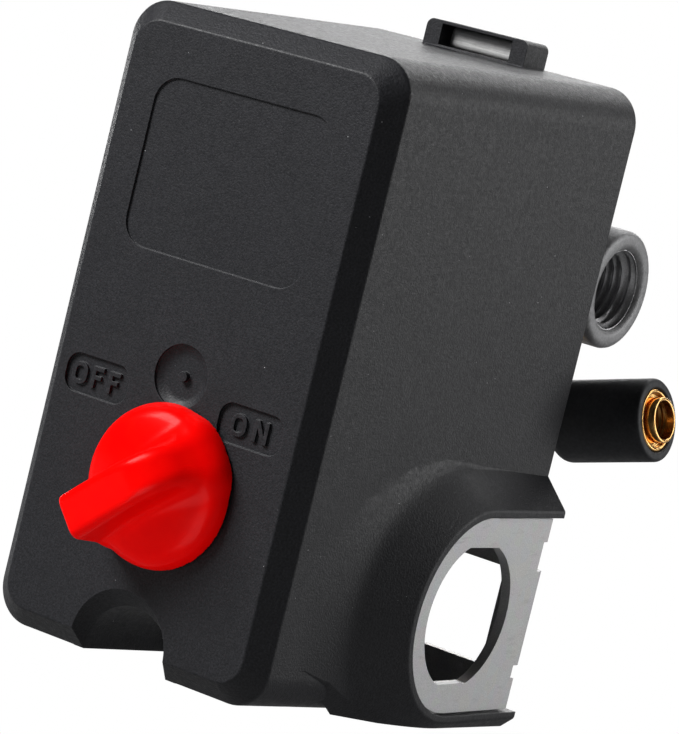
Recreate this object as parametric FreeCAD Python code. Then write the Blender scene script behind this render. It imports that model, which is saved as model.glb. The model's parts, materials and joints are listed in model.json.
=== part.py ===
import FreeCAD, Part
import math
import os

# Air-compressor pressure switch: a moulded cover with an ON/OFF knob over a
# diaphragm mechanism, a four-port die-cast manifold and an unloader valve.
#
# Design frame, in millimetres: X to the right, Y back from the front edge of the
# cover, Z up from the foot of that edge. Every piece is moved at export so that
# the row's origin is the centre of the inlet port's mouth, at the back.

V = FreeCAD.Vector
X_AXIS = V(1, 0, 0)
Y_AXIS = V(0, 1, 0)
Z_AXIS = V(0, 0, 1)

# ---- Driving dimensions -------------------------------------------------------

# Cover: front outline, rear rim, and the 45 degree bevel round the face
COVER_WIDTH = 48.6
COVER_HEIGHT = 93.0
COVER_DEPTH = 59.0
COVER_BEVEL = 2.95
COVER_CORNER = 5.7
FACE_CORNER = 4.0
DRAFT_SIDE = 2.7
DRAFT_ENDS = 2.35
WALL = 2.0
FACE_Y = -COVER_BEVEL
RIM_HALF_WIDTH = COVER_WIDTH / 2 + DRAFT_SIDE
RIM_TOP_Z = COVER_HEIGHT + DRAFT_ENDS

# Cable bulges: a skewed cone on each side round the cable hole, flared at its root
HOLE_Y = 39.1
HOLE_Z = 15.75
BULGE_X = 31.4
BULGE_RADIUS = 16.2
BULGE_SPREAD = 0.985
BULGE_SKEW = 0.69
BULGE_FLARE_X = 26.9
BULGE_FLARE = 0.55
BULGE_FLARE_POWER = 2.6
BULGE_SECTIONS_X = (23.6, 24.4, 25.0, 25.4, 25.8, 26.2, 26.6, 27.2, BULGE_X)
BULGE_FOOT = ((0, 17.8), (8, 18.0), (14, 20.2), (20, 24.0), (36, 34), (COVER_DEPTH, 34))
BULGE_REACH = 20
BULGE_WALL = 1.7
BULGE_ROUND = 0.8
FACE_ROUND = 0.5
EDGE_ROUND = 0.7

# Ears of the bracket, which fill the outer ends of the bulges
EAR_X = 30.6
EAR_RADIUS = 14.9
EAR_REAR_Y = 57.2
EAR_GAP = 0.3
CABLE_HOLE_RADIUS = 11.15
CABLE_HOLE_FLAT = 10.38

# Front face details
LABEL_HALF_WIDTH = 15.7
LABEL_LOW_Z = 58.2
LABEL_HIGH_Z = 82.8
LABEL_CORNER = 4.0
LABEL_DEPTH = 0.3
WORD_RECESS_DEPTH = 0.5
WORD_RECESS_CORNER = 2.2
WORD_Z = 38.3
WORD_HEIGHT = 5.7
OFF_X = -14.15
OFF_WIDTH = 11.3
ON_X = 13.4
ON_WIDTH = 11.2
LETTER_HEIGHT = 3.2
LETTER_STROKE = 0.62
DIMPLE_Z = 42.3
DIMPLE_RADIUS = 4.6
DIMPLE_FLOOR_RADIUS = 2.9
DIMPLE_STEP = 0.35
DIMPLE_DEPTH = 1.15
DIMPLE_PIN_RADIUS = 0.75

# Cable notch, an arch cut in the foot of the cover
NOTCH_FACE_RADIUS = 8.3
NOTCH_FACE_TOP = 10.8
NOTCH_RADIUS = 7.5
NOTCH_TOP = 8.3
NOTCH_END_RADIUS = 6.6
NOTCH_END_TOP = 6.2
NOTCH_END_Y = 24.0
NOTCH_WALL = 1.8

# Latch loop on top of the cover and the steel tongue inside it
LOOP_HALF_WIDTH = 9.2
LOOP_FRONT_Y = 52.6
LOOP_LOW_Z = 93.5
LOOP_TOP_Z = 99.1
LOOP_CORNER = 1.2
LOOP_WINDOW_HALF = 6.4
LOOP_BAR = 0.5
LOOP_SLOT_Y = 54.6
TONGUE_HALF_WIDTH = 6.1
TONGUE_THICKNESS = 0.8
TONGUE_LIP_RADIUS = 1.6
TONGUE_LIP_Y = 56.5

# Knob, its shaft and cam
KNOB_X = 1.2
KNOB_Z = 26.6
KNOB_RADIUS = 11.9
KNOB_RIM_RADIUS = 11.4
KNOB_RIM = 2.2
KNOB_DOME = 2.6
KNOB_GAP = 0.25
KNOB_BAR_WIDTH = 7.2
KNOB_BAR_PROFILE = ((-10.8, 9.8), (-4.9, 10.18), (1.0, 10.3), (8.9, 7.25), (11.2, 3.0))
KNOB_ANGLE = 41.0
HUB_RADIUS = 5.95
HUB_END_Y = 2.6
SHAFT_RADIUS = 3.4
CAM_RADIUS = 6.0
CAM_THROW = 1.556
CAM_FRONT_Y = 16.0
CAM_REAR_Y = 20.0

# Sheet-metal bracket
SHEET = 1.6
PLATE_REAR_Y = 59.0
PLATE_FRONT_Y = PLATE_REAR_Y - SHEET
PLATE_HALF_WIDTH = 24.5
PLATE_LOW_Z = 21.4
PLATE_TOP_Z = 92.6
PLATE_CORNER = 4.0
CROSS_STRIP_Z = (0.9, 6.0)
LEG_INNER_X = 24.4
LEG_LOW_Z = 7.7
LEG_HIGH_Z = 22.4
SHOULDER_TOP_Z = 27.4
BEND_RADIUS = 2.0

# Manifold and its four 1/4 inch NPT ports
PORT_Z = 65.2
PORT_AXIS_Y = 72.0
INLET_MOUTH_Y = 90.0
SIDE_MOUTH = 24.0
PORT_RADIUS = 5.7
PORT_DEPTH = 12.0
BOSS_RADIUS = 9.3
BOSS_CHAMFER = 1.2
HUB_CORE_RADIUS = 10.6
CROSSWAY_RADIUS = 2.6
FLANGE_HALF = 20.5
FLANGE_CORNER = 4.0
FLANGE_THICKNESS = 4.5
SCREW_SPREAD = 15.0
CHAMBER_RADIUS = 12.0
CHAMBER_DEPTH = 1.5

# Diaphragm and plunger
DIAPHRAGM_THICKNESS = 1.2
PLUNGER_RADIUS = 11.0
PLUNGER_CLEARANCE = 0.06
PLUNGER_DISC_FRONT_Y = 56.0
PLUNGER_NOSE_RADIUS = 3.0
PLUNGER_TIP_Y = 52.6

# Lever and the frame that carries it
LEVER_REAR_Y = 52.5
LEVER_THICKNESS = 2.0
LEVER_HALF_WIDTH = 9.0
LEVER_LOW_Z = 51.5
LEVER_PIVOT_Y = 49.0
LEVER_PIVOT_Z = 88.0
PIVOT_RADIUS = 1.5
PIVOT_CLEARANCE = 0.05
CHEEK_X = 13.2
CHEEK_THICKNESS = 1.5
CHEEK_LOW_Z = 63.5
CHEEK_HIGH_Z = 91.0
BRIDGE_FRONT_Y = 13.0
RIVET_Z = (68.0, 85.0)
RIVET_LAND = 4.5

# Springs on the lever
RANGE_Z = 78.6
RANGE_SPRING_RADIUS = 5.4
RANGE_WIRE = 1.6
RANGE_TURNS = 6
RANGE_SCREW_RADIUS = 2.9
DIFF_Z = 67.8
DIFF_SPRING_RADIUS = 2.7
DIFF_WIRE = 0.8
DIFF_TURNS = 7
DIFF_SCREW_RADIUS = 1.9

# Contact block
BLOCK_HALF_WIDTH = 17.0
BLOCK_FRONT_Y = 38.0
BLOCK_REAR_Y = 47.0
BLOCK_LOW_Z = 28.0
BLOCK_HIGH_Z = 61.5
SLOT_HALF_WIDTH = 2.8
BLOCK_SCREW_X = 14.0
BLOCK_SCREW_Z = 36.5
CONTACT_XS = (-13.4, -5.7, 5.7, 13.4)
CONTACT_WIDTH = 5.0
CONTACT_SHEET = 1.0
CONTACT_TIP_Z = 58.2
TIP_RADIUS = 1.7
TIP_HEIGHT = 0.8
TERMINAL_Z = 34.0
ROCKER_PIVOT_Y = 42.5
ROCKER_PIVOT_Z = 48.0
ROCKER_HALF_WIDTH = 2.4

# Unloader valve
UNLOADER_Z = 37.6
UNLOADER_ARM_TILT = 16.0
UNLOADER_BODY_RADIUS = 6.4
UNLOADER_BODY_END_Y = 79.0
UNLOADER_NECK_RADIUS = 4.0
SLEEVE_RADIUS = 6.4
SLEEVE_START = 20.0
SLEEVE_END = 37.3
FERRULE_RADIUS = 4.8
TUBE_RADIUS = 3.5
TUBE_BORE_RADIUS = 2.6
STEM_RADIUS = 1.5
TUBE_START = 20.0
TUBE_END = 38.6
ARM_RADIUS = 4.2
FERRULE_START = 29.0
FERRULE_END = 37.2
FERRULE_WALL = 0.8
FERRULE_CUP = 1.1
SLEEVE_TAPER = 1.9
SLEEVE_ROUND = 0.8
NECK_FRONT_Y = 54.2
SEAT_Y = 66.0
SEAL_THICKNESS = 1.0
HEAD_RADIUS = 2.8
VALVE_CHAMBER_RADIUS = 3.6
NUT_HEIGHT = 2.4
STEM_GAP = 0.15
ROCKER_PUSH_Y = 52.0

# Small hardware and shared clearances
HOLE_CLEARANCE = 0.03
SLIDE_CLEARANCE = 0.08
SCREW_RADIUS = 2.0
SMALL_SCREW_RADIUS = 1.5
RIVET_RADIUS = 1.2
GROUND_RADIUS = 1.7
GROUND_X = -20.6
GROUND_Z = 31.0
GROUND_HEAD_Y = 54.4
LATCH_RIVET_X = 7.0
LATCH_RIVET_Z = 90.0
LATCH_FOOT_HALF = 2.5
LATCH_FOOT_MARGIN = 3.0
TONGUE_TOP_Z = 98.3
NECK_GAP = 1.0
RELIEF = 2.0
RELIEF_TALL = 4.6
FOOT_REACH = 10.4
SLIDER_HALF_WIDTH = 4.0
SLIDER_FRONT_Y = 20.4
SLIDER_REAR_Y = 23.4
SLIDER_TOP_Z = 53.0
SHOULDER_Z = 62.5
LEVER_TAIL_HALF = 4.0
SEAT_THICKNESS = 0.8
SEAT_HALF_WIDTH = 7.0
NUT_THICKNESS = 2.4
NUT_BOSS = 2.0
RANGE_NUT_Y = 21.0
DIFF_NUT_Y = 28.0
LEG_RADIUS = 3.2
SLOT_LOW_Z = 33.0
BLOCK_SCREW_END_Y = 45.0
TERMINAL_END_Y = 44.5
BARRIER_HEIGHT = 4.0

# ---- Helpers ------------------------------------------------------------------


def box(x_range, y_range, z_range):
    """An axis-aligned block between three pairs of limits."""
    size = [high - low for low, high in (x_range, y_range, z_range)]
    return Part.makeBox(*size, V(x_range[0], y_range[0], z_range[0]))


def rod(radius, start, end):
    """A cylinder between two points."""
    axis = end - start
    return Part.makeCylinder(radius, axis.Length, start, axis)


def cone(radius_start, radius_end, start, end):
    """A truncated cone between two points."""
    axis = end - start
    return Part.makeCone(radius_start, radius_end, axis.Length, start, axis)


def tube(outer, inner, start, end):
    """A ring between two points."""
    return rod(outer, start, end).cut(rod(inner, start, end))


def along_y(radius, x, z, y_start, y_end):
    """A cylinder parallel to Y."""
    return rod(radius, V(x, y_start, z), V(x, y_end, z))


def along_x(radius, y, z, x_start, x_end):
    """A cylinder parallel to X."""
    return rod(radius, V(x_start, y, z), V(x_end, y, z))


def hexagon(across_flats, centre, depth_vector):
    """A hexagonal prism whose axis is depth_vector."""
    radius = across_flats / math.sqrt(3)
    points = [V(radius * math.cos(math.radians(60 * i)), radius * math.sin(math.radians(60 * i)), 0)
              for i in range(7)]
    prism = Part.Face(Part.makePolygon(points)).extrude(V(0, 0, depth_vector.Length))
    prism.Placement = FreeCAD.Placement(centre, FreeCAD.Rotation(Z_AXIS, depth_vector))
    return prism


def rounded_outline(half_width, z_range, corner, y):
    """A rounded rectangle in a plane of constant Y, as a wire."""
    low, high = z_range
    inner = half_width - corner
    bend = corner * (1 - math.sqrt(0.5))
    corners = (
        (V(inner, y, low), V(half_width - bend, y, low + bend), V(half_width, y, low + corner)),
        (V(half_width, y, high - corner), V(half_width - bend, y, high - bend), V(inner, y, high)),
        (V(-inner, y, high), V(bend - half_width, y, high - bend), V(-half_width, y, high - corner)),
        (V(-half_width, y, low + corner), V(bend - half_width, y, low + bend), V(-inner, y, low)),
    )
    edges = []
    for index, (first, middle, last) in enumerate(corners):
        edges.append(Part.Arc(first, middle, last).toShape())
        edges.append(Part.makeLine(last, corners[(index + 1) % len(corners)][0]))
    return Part.Wire(edges)


def rounded_slab(half_width, z_range, corner, y_range):
    """A rounded rectangle extruded along Y."""
    face = Part.Face(rounded_outline(half_width, z_range, corner, y_range[0]))
    return face.extrude(V(0, y_range[1] - y_range[0], 0))


def loft(wires):
    """A solid with straight walls from each wire to the next."""
    return Part.makeLoft(wires, True, True)


def mirrored(shape):
    """The same shape on the other side of the X = 0 plane."""
    return shape.mirror(V(0, 0, 0), X_AXIS)


def coil(radius, wire_radius, turns, start, end):
    """A closed-end compression spring between two points, from stacked helix wire."""
    axis = end - start
    length = axis.Length - 2 * wire_radius
    helix = Part.makeHelix(length / turns, length, radius)
    section = Part.Wire(Part.makeCircle(wire_radius, V(radius, 0, 0), Y_AXIS))
    spring = Part.Wire(helix.Edges).makePipeShell([section], True, True)
    spring.translate(V(0, 0, wire_radius))
    spring.Placement = FreeCAD.Placement(start, FreeCAD.Rotation(Z_AXIS, axis)).multiply(spring.Placement)
    return spring


def save(node, *solids):
    """Writes one piece, or one group of like pieces, in the row's frame."""
    shape = solids[0] if len(solids) == 1 else Part.makeCompound(list(solids))
    moved = shape.translated(V(0, -INLET_MOUTH_Y, -PORT_Z))
    moved.exportStep(f"parts/{node}.step")


# ---- Cover --------------------------------------------------------------------


def edges_in_plane(shape, axis, value):
    """The edges of a shape whose every point has the same coordinate on one axis."""
    found = []
    for edge in shape.Edges:
        first, last = edge.FirstParameter, edge.LastParameter
        points = [edge.valueAt(place) for place in (first, (first + last) / 2, last)]
        if all(abs(point[axis] - value) < 0.01 for point in points):
            found.append(edge)
    return found


def cover_body(inset):
    """The drafted box of the cover, shrunk on all sides by the inset."""
    face_half = COVER_WIDTH / 2 - COVER_BEVEL - inset / 2
    face_z = (COVER_BEVEL + inset / 2, COVER_HEIGHT - COVER_BEVEL - inset / 2)
    edge_z = (inset, COVER_HEIGHT - inset)
    rim_z = (inset - DRAFT_ENDS, RIM_TOP_Z - inset)
    corner = COVER_CORNER - inset
    wires = [
        rounded_outline(face_half, face_z, FACE_CORNER - inset / 2, FACE_Y + inset),
        rounded_outline(COVER_WIDTH / 2 - inset, edge_z, corner, inset / 2),
        rounded_outline(RIM_HALF_WIDTH - inset, rim_z, corner, COVER_DEPTH),
    ]
    return loft(wires)


def d_outline(x, centre_y, radius):
    """A D lying on its side: a half circle to the front, open stretch to the rear rim."""
    low = HOLE_Z - radius
    high = HOLE_Z + radius
    nose = Part.Arc(V(x, centre_y, high), V(x, centre_y - radius, HOLE_Z), V(x, centre_y, low)).toShape()
    corners = [V(x, centre_y, low), V(x, COVER_DEPTH, low), V(x, COVER_DEPTH, high), V(x, centre_y, high)]
    sides = [Part.makeLine(first, last) for first, last in zip(corners, corners[1:])]
    return Part.Wire([nose] + sides)


def bulge(inset):
    """The right-hand cable bulge, shrunk by the inset."""
    sections = []
    for x in BULGE_SECTIONS_X:
        flare = BULGE_FLARE * max(0, BULGE_FLARE_X - x) ** BULGE_FLARE_POWER
        radius = BULGE_RADIUS + BULGE_SPREAD * (BULGE_X - x) + flare
        skew = BULGE_SKEW * (BULGE_X - x) + flare / 3
        sections.append(d_outline(x - inset, HOLE_Y - skew, radius - inset / 2))
    corners = []
    for y, foot_x in BULGE_FOOT:
        low = inset - DRAFT_ENDS * y / COVER_DEPTH
        far_x = foot_x + BULGE_REACH
        places = ((0, low), (foot_x, low), (far_x, low + BULGE_REACH), (far_x, COVER_HEIGHT),
                  (0, COVER_HEIGHT), (0, low))
        corners.append(Part.makePolygon([V(x, y, z) for x, z in places]))
    return loft(sections).common(loft(corners))


def arch(y, radius, top):
    """The outline of the cable notch at one depth."""
    spring_z = top - radius
    foot = -COVER_CORNER
    crown = Part.Arc(V(-radius, y, spring_z), V(0, y, top), V(radius, y, spring_z)).toShape()
    corners = [V(radius, y, spring_z), V(radius, y, foot), V(-radius, y, foot), V(-radius, y, spring_z)]
    sides = [Part.makeLine(first, last) for first, last in zip(corners, corners[1:])]
    return Part.Wire([crown] + sides)


def notch(grow):
    """The arched channel in the foot of the cover, grown by its wall for the liner."""
    wires = [
        arch(FACE_Y, NOTCH_FACE_RADIUS + grow, NOTCH_FACE_TOP + grow),
        arch(0, NOTCH_RADIUS + grow, NOTCH_TOP + grow),
        arch(NOTCH_END_Y + grow, NOTCH_END_RADIUS + grow, NOTCH_END_TOP + grow),
    ]
    return loft(wires)


def ear_outline(radius, x, thickness, rear_y):
    """A flat D plate, the outline of an ear, standing in a plane of constant X."""
    low = HOLE_Z - radius
    high = HOLE_Z + radius
    nose = Part.Arc(V(x, HOLE_Y, high), V(x, HOLE_Y - radius, HOLE_Z), V(x, HOLE_Y, low)).toShape()
    corners = [V(x, HOLE_Y, low), V(x, rear_y, low), V(x, rear_y, high), V(x, HOLE_Y, high)]
    sides = [Part.makeLine(first, last) for first, last in zip(corners, corners[1:])]
    return Part.Face(Part.Wire([nose] + sides)).extrude(V(thickness, 0, 0))


def letter_o(centre_x, depth):
    """A rounded ring."""
    outer = rounded_slab(LETTER_HEIGHT * 0.42, (-LETTER_HEIGHT / 2, LETTER_HEIGHT / 2), 1.2, depth)
    inner_half = LETTER_HEIGHT * 0.42 - LETTER_STROKE
    inner_z = (LETTER_STROKE - LETTER_HEIGHT / 2, LETTER_HEIGHT / 2 - LETTER_STROKE)
    inner = rounded_slab(inner_half, inner_z, 0.6, depth)
    return outer.cut(inner).translated(V(centre_x, 0, WORD_Z))


def letter_f(left_x, depth):
    """A stem with two bars."""
    width = LETTER_HEIGHT * 0.62
    half = LETTER_HEIGHT / 2
    stem = box((0, LETTER_STROKE), depth, (-half, half))
    top = box((0, width), depth, (half - LETTER_STROKE, half))
    middle = box((0, width * 0.85), depth, (-LETTER_STROKE / 2, LETTER_STROKE / 2))
    return stem.fuse([top, middle]).translated(V(left_x, 0, WORD_Z))


def letter_n(left_x, depth):
    """Two stems and a diagonal."""
    width = LETTER_HEIGHT * 0.78
    half = LETTER_HEIGHT / 2
    left = box((0, LETTER_STROKE), depth, (-half, half))
    right = box((width - LETTER_STROKE, width), depth, (-half, half))
    slant = LETTER_STROKE * 1.25
    outline = [V(0, depth[0], half), V(slant, depth[0], half), V(width, depth[0], -half),
               V(width - slant, depth[0], -half), V(0, depth[0], half)]
    diagonal = Part.Face(Part.makePolygon(outline)).extrude(V(0, depth[1] - depth[0], 0))
    return left.fuse([right, diagonal]).translated(V(left_x, 0, WORD_Z))


def word_recess(centre_x, width):
    """The shallow rounded pocket that a word stands in."""
    z_range = (WORD_Z - WORD_HEIGHT / 2, WORD_Z + WORD_HEIGHT / 2)
    pocket = rounded_slab(width / 2, z_range, WORD_RECESS_CORNER, (FACE_Y, FACE_Y + WORD_RECESS_DEPTH))
    return pocket.translated(V(centre_x, 0, 0))


def latch_loop():
    """The loop on top of the cover, rounded at its upper corners, with its window cut."""
    block = rounded_slab(LOOP_HALF_WIDTH, (LOOP_LOW_Z, LOOP_TOP_Z), LOOP_CORNER, (LOOP_FRONT_Y, COVER_DEPTH))
    window = box((-LOOP_WINDOW_HALF, LOOP_WINDOW_HALF), (LOOP_FRONT_Y, COVER_DEPTH),
                 (RIM_TOP_Z, LOOP_TOP_Z - LOOP_BAR))
    return block.cut(window)


def rounded_body():
    """The outside of the drafted box, with both edges of its bevel rounded over."""
    body = cover_body(0)
    body = body.makeFillet(FACE_ROUND, edges_in_plane(body, 1, FACE_Y))
    return body.makeFillet(EDGE_ROUND, [edge for edge in edges_in_plane(body, 1, 0) if edge.Length > COVER_BEVEL])


def rounded_bulge():
    """The outside of a bulge, with the edge round its flat end rounded over."""
    body = bulge(0).Solids[0]
    rim = [edge for edge in edges_in_plane(body, 0, BULGE_X) if edge not in edges_in_plane(body, 1, COVER_DEPTH)]
    return body.makeFillet(BULGE_ROUND, [edge for edge in rim if edge.BoundBox.YMin < COVER_DEPTH - 1])


def cover():
    outside = rounded_body().fuse(rounded_bulge()).fuse(mirrored(rounded_bulge()))
    inside = cover_body(WALL).fuse(bulge(BULGE_WALL)).fuse(mirrored(bulge(BULGE_WALL)))
    liner = notch(NOTCH_WALL).common(cover_body(0))
    dimple_boss = along_y(DIMPLE_RADIUS + WALL / 2, 0, DIMPLE_Z, FACE_Y, FACE_Y + WALL + 1)
    hub_boss = along_y(HUB_RADIUS + WALL, KNOB_X, KNOB_Z, FACE_Y, HUB_END_Y - KNOB_GAP)
    shell = outside.cut(inside).fuse([liner, dimple_boss, hub_boss, latch_loop()])

    slot_depth = BULGE_X - LEG_INNER_X
    ear_slot = ear_outline(EAR_RADIUS + EAR_GAP, LEG_INNER_X, slot_depth, COVER_DEPTH)
    hub_hole = along_y(HUB_RADIUS + PIVOT_CLEARANCE, KNOB_X, KNOB_Z, FACE_Y, HUB_END_Y)
    label = rounded_slab(LABEL_HALF_WIDTH, (LABEL_LOW_Z, LABEL_HIGH_Z), LABEL_CORNER,
                         (FACE_Y, FACE_Y + LABEL_DEPTH))
    rim = along_y(DIMPLE_RADIUS, 0, DIMPLE_Z, FACE_Y, FACE_Y + DIMPLE_STEP)
    bowl = cone(DIMPLE_RADIUS, DIMPLE_FLOOR_RADIUS, V(0, FACE_Y + DIMPLE_STEP, DIMPLE_Z),
                V(0, FACE_Y + DIMPLE_DEPTH, DIMPLE_Z))
    pin = along_y(DIMPLE_PIN_RADIUS, 0, DIMPLE_Z, FACE_Y + DIMPLE_STEP, FACE_Y + DIMPLE_DEPTH)
    letters_depth = (FACE_Y + 0.1, FACE_Y + WORD_RECESS_DEPTH)
    words = [letter_o(OFF_X - 3.2, letters_depth), letter_f(OFF_X - 1.0, letters_depth),
             letter_f(OFF_X + 2.0, letters_depth), letter_o(ON_X - 2.1, letters_depth),
             letter_n(ON_X + 0.5, letters_depth)]
    pockets = word_recess(OFF_X, OFF_WIDTH).fuse(word_recess(ON_X, ON_WIDTH))
    tongue_slot = box((-LOOP_WINDOW_HALF, LOOP_WINDOW_HALF), (LOOP_SLOT_Y, COVER_DEPTH),
                      (RIM_TOP_Z - 2 * WALL, LOOP_TOP_Z - LOOP_BAR))
    cuts = [ear_slot, mirrored(ear_slot), notch(0), hub_hole, label, rim, bowl.cut(pin), pockets, tongue_slot]
    for cutter in cuts:
        shell = shell.cut(cutter)
    return shell.fuse(words).removeSplitter()


# ---- Knob ---------------------------------------------------------------------


def knob():
    """A domed disc with a grip bar that runs from its foot up to the pointer end."""
    base_y = FACE_Y - KNOB_GAP
    rim_y = base_y - KNOB_RIM
    crown_y = rim_y - KNOB_DOME
    side = KNOB_RIM_RADIUS
    profile = Part.Wire([
        Part.makeLine(V(0, base_y, 0), V(KNOB_RADIUS, base_y, 0)),
        Part.makeLine(V(KNOB_RADIUS, base_y, 0), V(side, rim_y, 0)),
        Part.Arc(V(side, rim_y, 0), V(side * 0.78, crown_y + KNOB_DOME * 0.34, 0), V(0, crown_y, 0)).toShape(),
        Part.makeLine(V(0, crown_y, 0), V(0, base_y, 0)),
    ])
    disc = Part.Face(profile).revolve(V(0, 0, 0), Y_AXIS, 360)
    crest = [V(along, base_y - height, 0) for along, height in KNOB_BAR_PROFILE]
    heel = V(crest[0].x, rim_y, 0)
    toe = V(crest[-1].x, rim_y, 0)
    outline = Part.Wire([
        Part.makeLine(heel, crest[0]),
        Part.Arc(*crest[:3]).toShape(),
        Part.Arc(*crest[2:]).toShape(),
        Part.makeLine(crest[-1], toe),
        Part.makeLine(toe, heel),
    ])
    bar = Part.Face(outline).extrude(V(0, 0, KNOB_BAR_WIDTH))
    bar.translate(V(0, 0, -KNOB_BAR_WIDTH / 2))
    hub = along_y(HUB_RADIUS, 0, 0, base_y, HUB_END_Y)
    bore = along_y(SHAFT_RADIUS, 0, 0, crown_y + 2, HUB_END_Y)
    shape = disc.fuse([bar, hub]).cut(bore).removeSplitter()
    shape.rotate(V(0, 0, 0), Y_AXIS, -KNOB_ANGLE)
    return shape.translated(V(KNOB_X, 0, KNOB_Z))


def knob_shaft():
    """A plain shaft with a round eccentric cam, which starts at its low point."""
    offset = CAM_THROW * math.sqrt(0.5)
    start_y = FACE_Y - KNOB_GAP - KNOB_RIM - KNOB_DOME + 2
    shaft = along_y(SHAFT_RADIUS, KNOB_X, KNOB_Z, start_y, CAM_FRONT_Y)
    cam = along_y(CAM_RADIUS, KNOB_X + offset, KNOB_Z - offset, CAM_FRONT_Y, CAM_REAR_Y)
    return shaft.fuse(cam)


def knob_clip():
    """A push-on ring that holds the shaft behind the cover."""
    return tube(SHAFT_RADIUS + 2.0, SHAFT_RADIUS - 0.02, V(KNOB_X, HUB_END_Y + 0.1, KNOB_Z),
                V(KNOB_X, HUB_END_Y + 0.9, KNOB_Z))


def off_slider():
    """A plastic slide that the cam lifts: a foot over the cam and a forked head."""
    foot_z = KNOB_Z + CAM_RADIUS - CAM_THROW * math.sqrt(0.5) + SLIDE_CLEARANCE
    foot = box((-SLIDER_HALF_WIDTH, SLIDER_HALF_WIDTH), (CAM_FRONT_Y, SLIDER_REAR_Y), (foot_z, foot_z + 2.5))
    plate = box((-SLIDER_HALF_WIDTH, SLIDER_HALF_WIDTH), (SLIDER_FRONT_Y, SLIDER_REAR_Y), (foot_z, SLIDER_TOP_Z))
    head = box((-SLIDER_HALF_WIDTH, SLIDER_HALF_WIDTH), (SLIDER_FRONT_Y, SLIDER_REAR_Y + 3.5),
               (SLIDER_TOP_Z - 1.8, SLIDER_TOP_Z))
    window = box((-1.5, 1.5), (SLIDER_FRONT_Y, SLIDER_REAR_Y), (foot_z + 6, foot_z + 12))
    return foot.fuse([plate, head]).cut(window).removeSplitter()


# ---- Bracket and what holds the cover -------------------------------------------


def bracket():
    """Base plate with a window at its foot, and two ears bent forward round the cable holes."""
    plate = rounded_slab(PLATE_HALF_WIDTH, (PLATE_LOW_Z, PLATE_TOP_Z), PLATE_CORNER,
                         (PLATE_FRONT_Y, PLATE_REAR_Y))
    square = box((-PLATE_HALF_WIDTH, PLATE_HALF_WIDTH), (PLATE_FRONT_Y, PLATE_REAR_Y),
                 (PLATE_LOW_Z, PLATE_LOW_Z + PLATE_CORNER))
    flange_x = EAR_X - BEND_RADIUS
    leg = box((LEG_INNER_X, flange_x), (PLATE_FRONT_Y, PLATE_REAR_Y), (CROSS_STRIP_Z[0], LEG_HIGH_Z))
    cross_strip = box((-flange_x, flange_x), (PLATE_FRONT_Y, PLATE_REAR_Y), CROSS_STRIP_Z)
    shoulder = box((LEG_INNER_X - SHEET, flange_x), (PLATE_FRONT_Y, PLATE_REAR_Y),
                   (LEG_HIGH_Z, SHOULDER_TOP_Z))
    bend_start = V(flange_x, PLATE_REAR_Y - BEND_RADIUS, LEG_LOW_Z)
    bend_end = V(flange_x, PLATE_REAR_Y - BEND_RADIUS, LEG_HIGH_Z)
    corner = box((flange_x, EAR_X), (PLATE_REAR_Y - BEND_RADIUS, PLATE_REAR_Y), (LEG_LOW_Z, LEG_HIGH_Z))
    bend = tube(BEND_RADIUS, BEND_RADIUS - SHEET, bend_start, bend_end).common(corner)
    ear = ear_outline(EAR_RADIUS, EAR_X - SHEET, SHEET, EAR_REAR_Y - NECK_GAP)
    neck = box((EAR_X - SHEET, EAR_X), (EAR_REAR_Y - NECK_GAP, PLATE_REAR_Y - BEND_RADIUS),
               (LEG_LOW_Z, LEG_HIGH_Z))
    lobes = [box((EAR_X - SHEET, EAR_X), (EAR_REAR_Y - NECK_GAP, EAR_REAR_Y), z_range)
             for z_range in ((HOLE_Z - EAR_RADIUS, LEG_LOW_Z - RELIEF), (LEG_HIGH_Z + RELIEF_TALL,
                                                                        HOLE_Z + EAR_RADIUS))]
    hole = along_x(CABLE_HOLE_RADIUS, HOLE_Y, HOLE_Z, EAR_X - SHEET, EAR_X)
    flats = box((EAR_X - SHEET, EAR_X), (HOLE_Y - CABLE_HOLE_RADIUS, HOLE_Y + CABLE_HOLE_RADIUS),
                (HOLE_Z - CABLE_HOLE_FLAT, HOLE_Z + CABLE_HOLE_FLAT))
    wing = ear.fuse([neck] + lobes).cut(hole.common(flats)).fuse([leg, shoulder, bend])
    body = plate.fuse([square, cross_strip, wing, mirrored(wing)])
    holes = [along_y(PLUNGER_RADIUS + PLUNGER_CLEARANCE, 0, PORT_Z, PLATE_FRONT_Y, PLATE_REAR_Y),
             along_y(UNLOADER_NECK_RADIUS + HOLE_CLEARANCE, 0, UNLOADER_Z, PLATE_FRONT_Y, PLATE_REAR_Y),
             along_y(GROUND_RADIUS + HOLE_CLEARANCE, GROUND_X, GROUND_Z, PLATE_FRONT_Y, PLATE_REAR_Y)]
    for x, z in flange_screw_places():
        holes.append(along_y(SCREW_RADIUS + HOLE_CLEARANCE, x, z, PLATE_FRONT_Y, PLATE_REAR_Y))
    for x in (-BLOCK_SCREW_X, BLOCK_SCREW_X):
        holes.append(along_y(SMALL_SCREW_RADIUS + HOLE_CLEARANCE, x, BLOCK_SCREW_Z, PLATE_FRONT_Y, PLATE_REAR_Y))
    for x, z in rivet_places():
        holes.append(along_y(RIVET_RADIUS + HOLE_CLEARANCE, x, z, PLATE_FRONT_Y, PLATE_REAR_Y))
    for x in (-LATCH_RIVET_X, LATCH_RIVET_X):
        holes.append(along_y(RIVET_RADIUS + HOLE_CLEARANCE, x, LATCH_RIVET_Z, PLATE_FRONT_Y, PLATE_REAR_Y))
    return body.cut(Part.makeCompound(holes)).removeSplitter()


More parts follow.
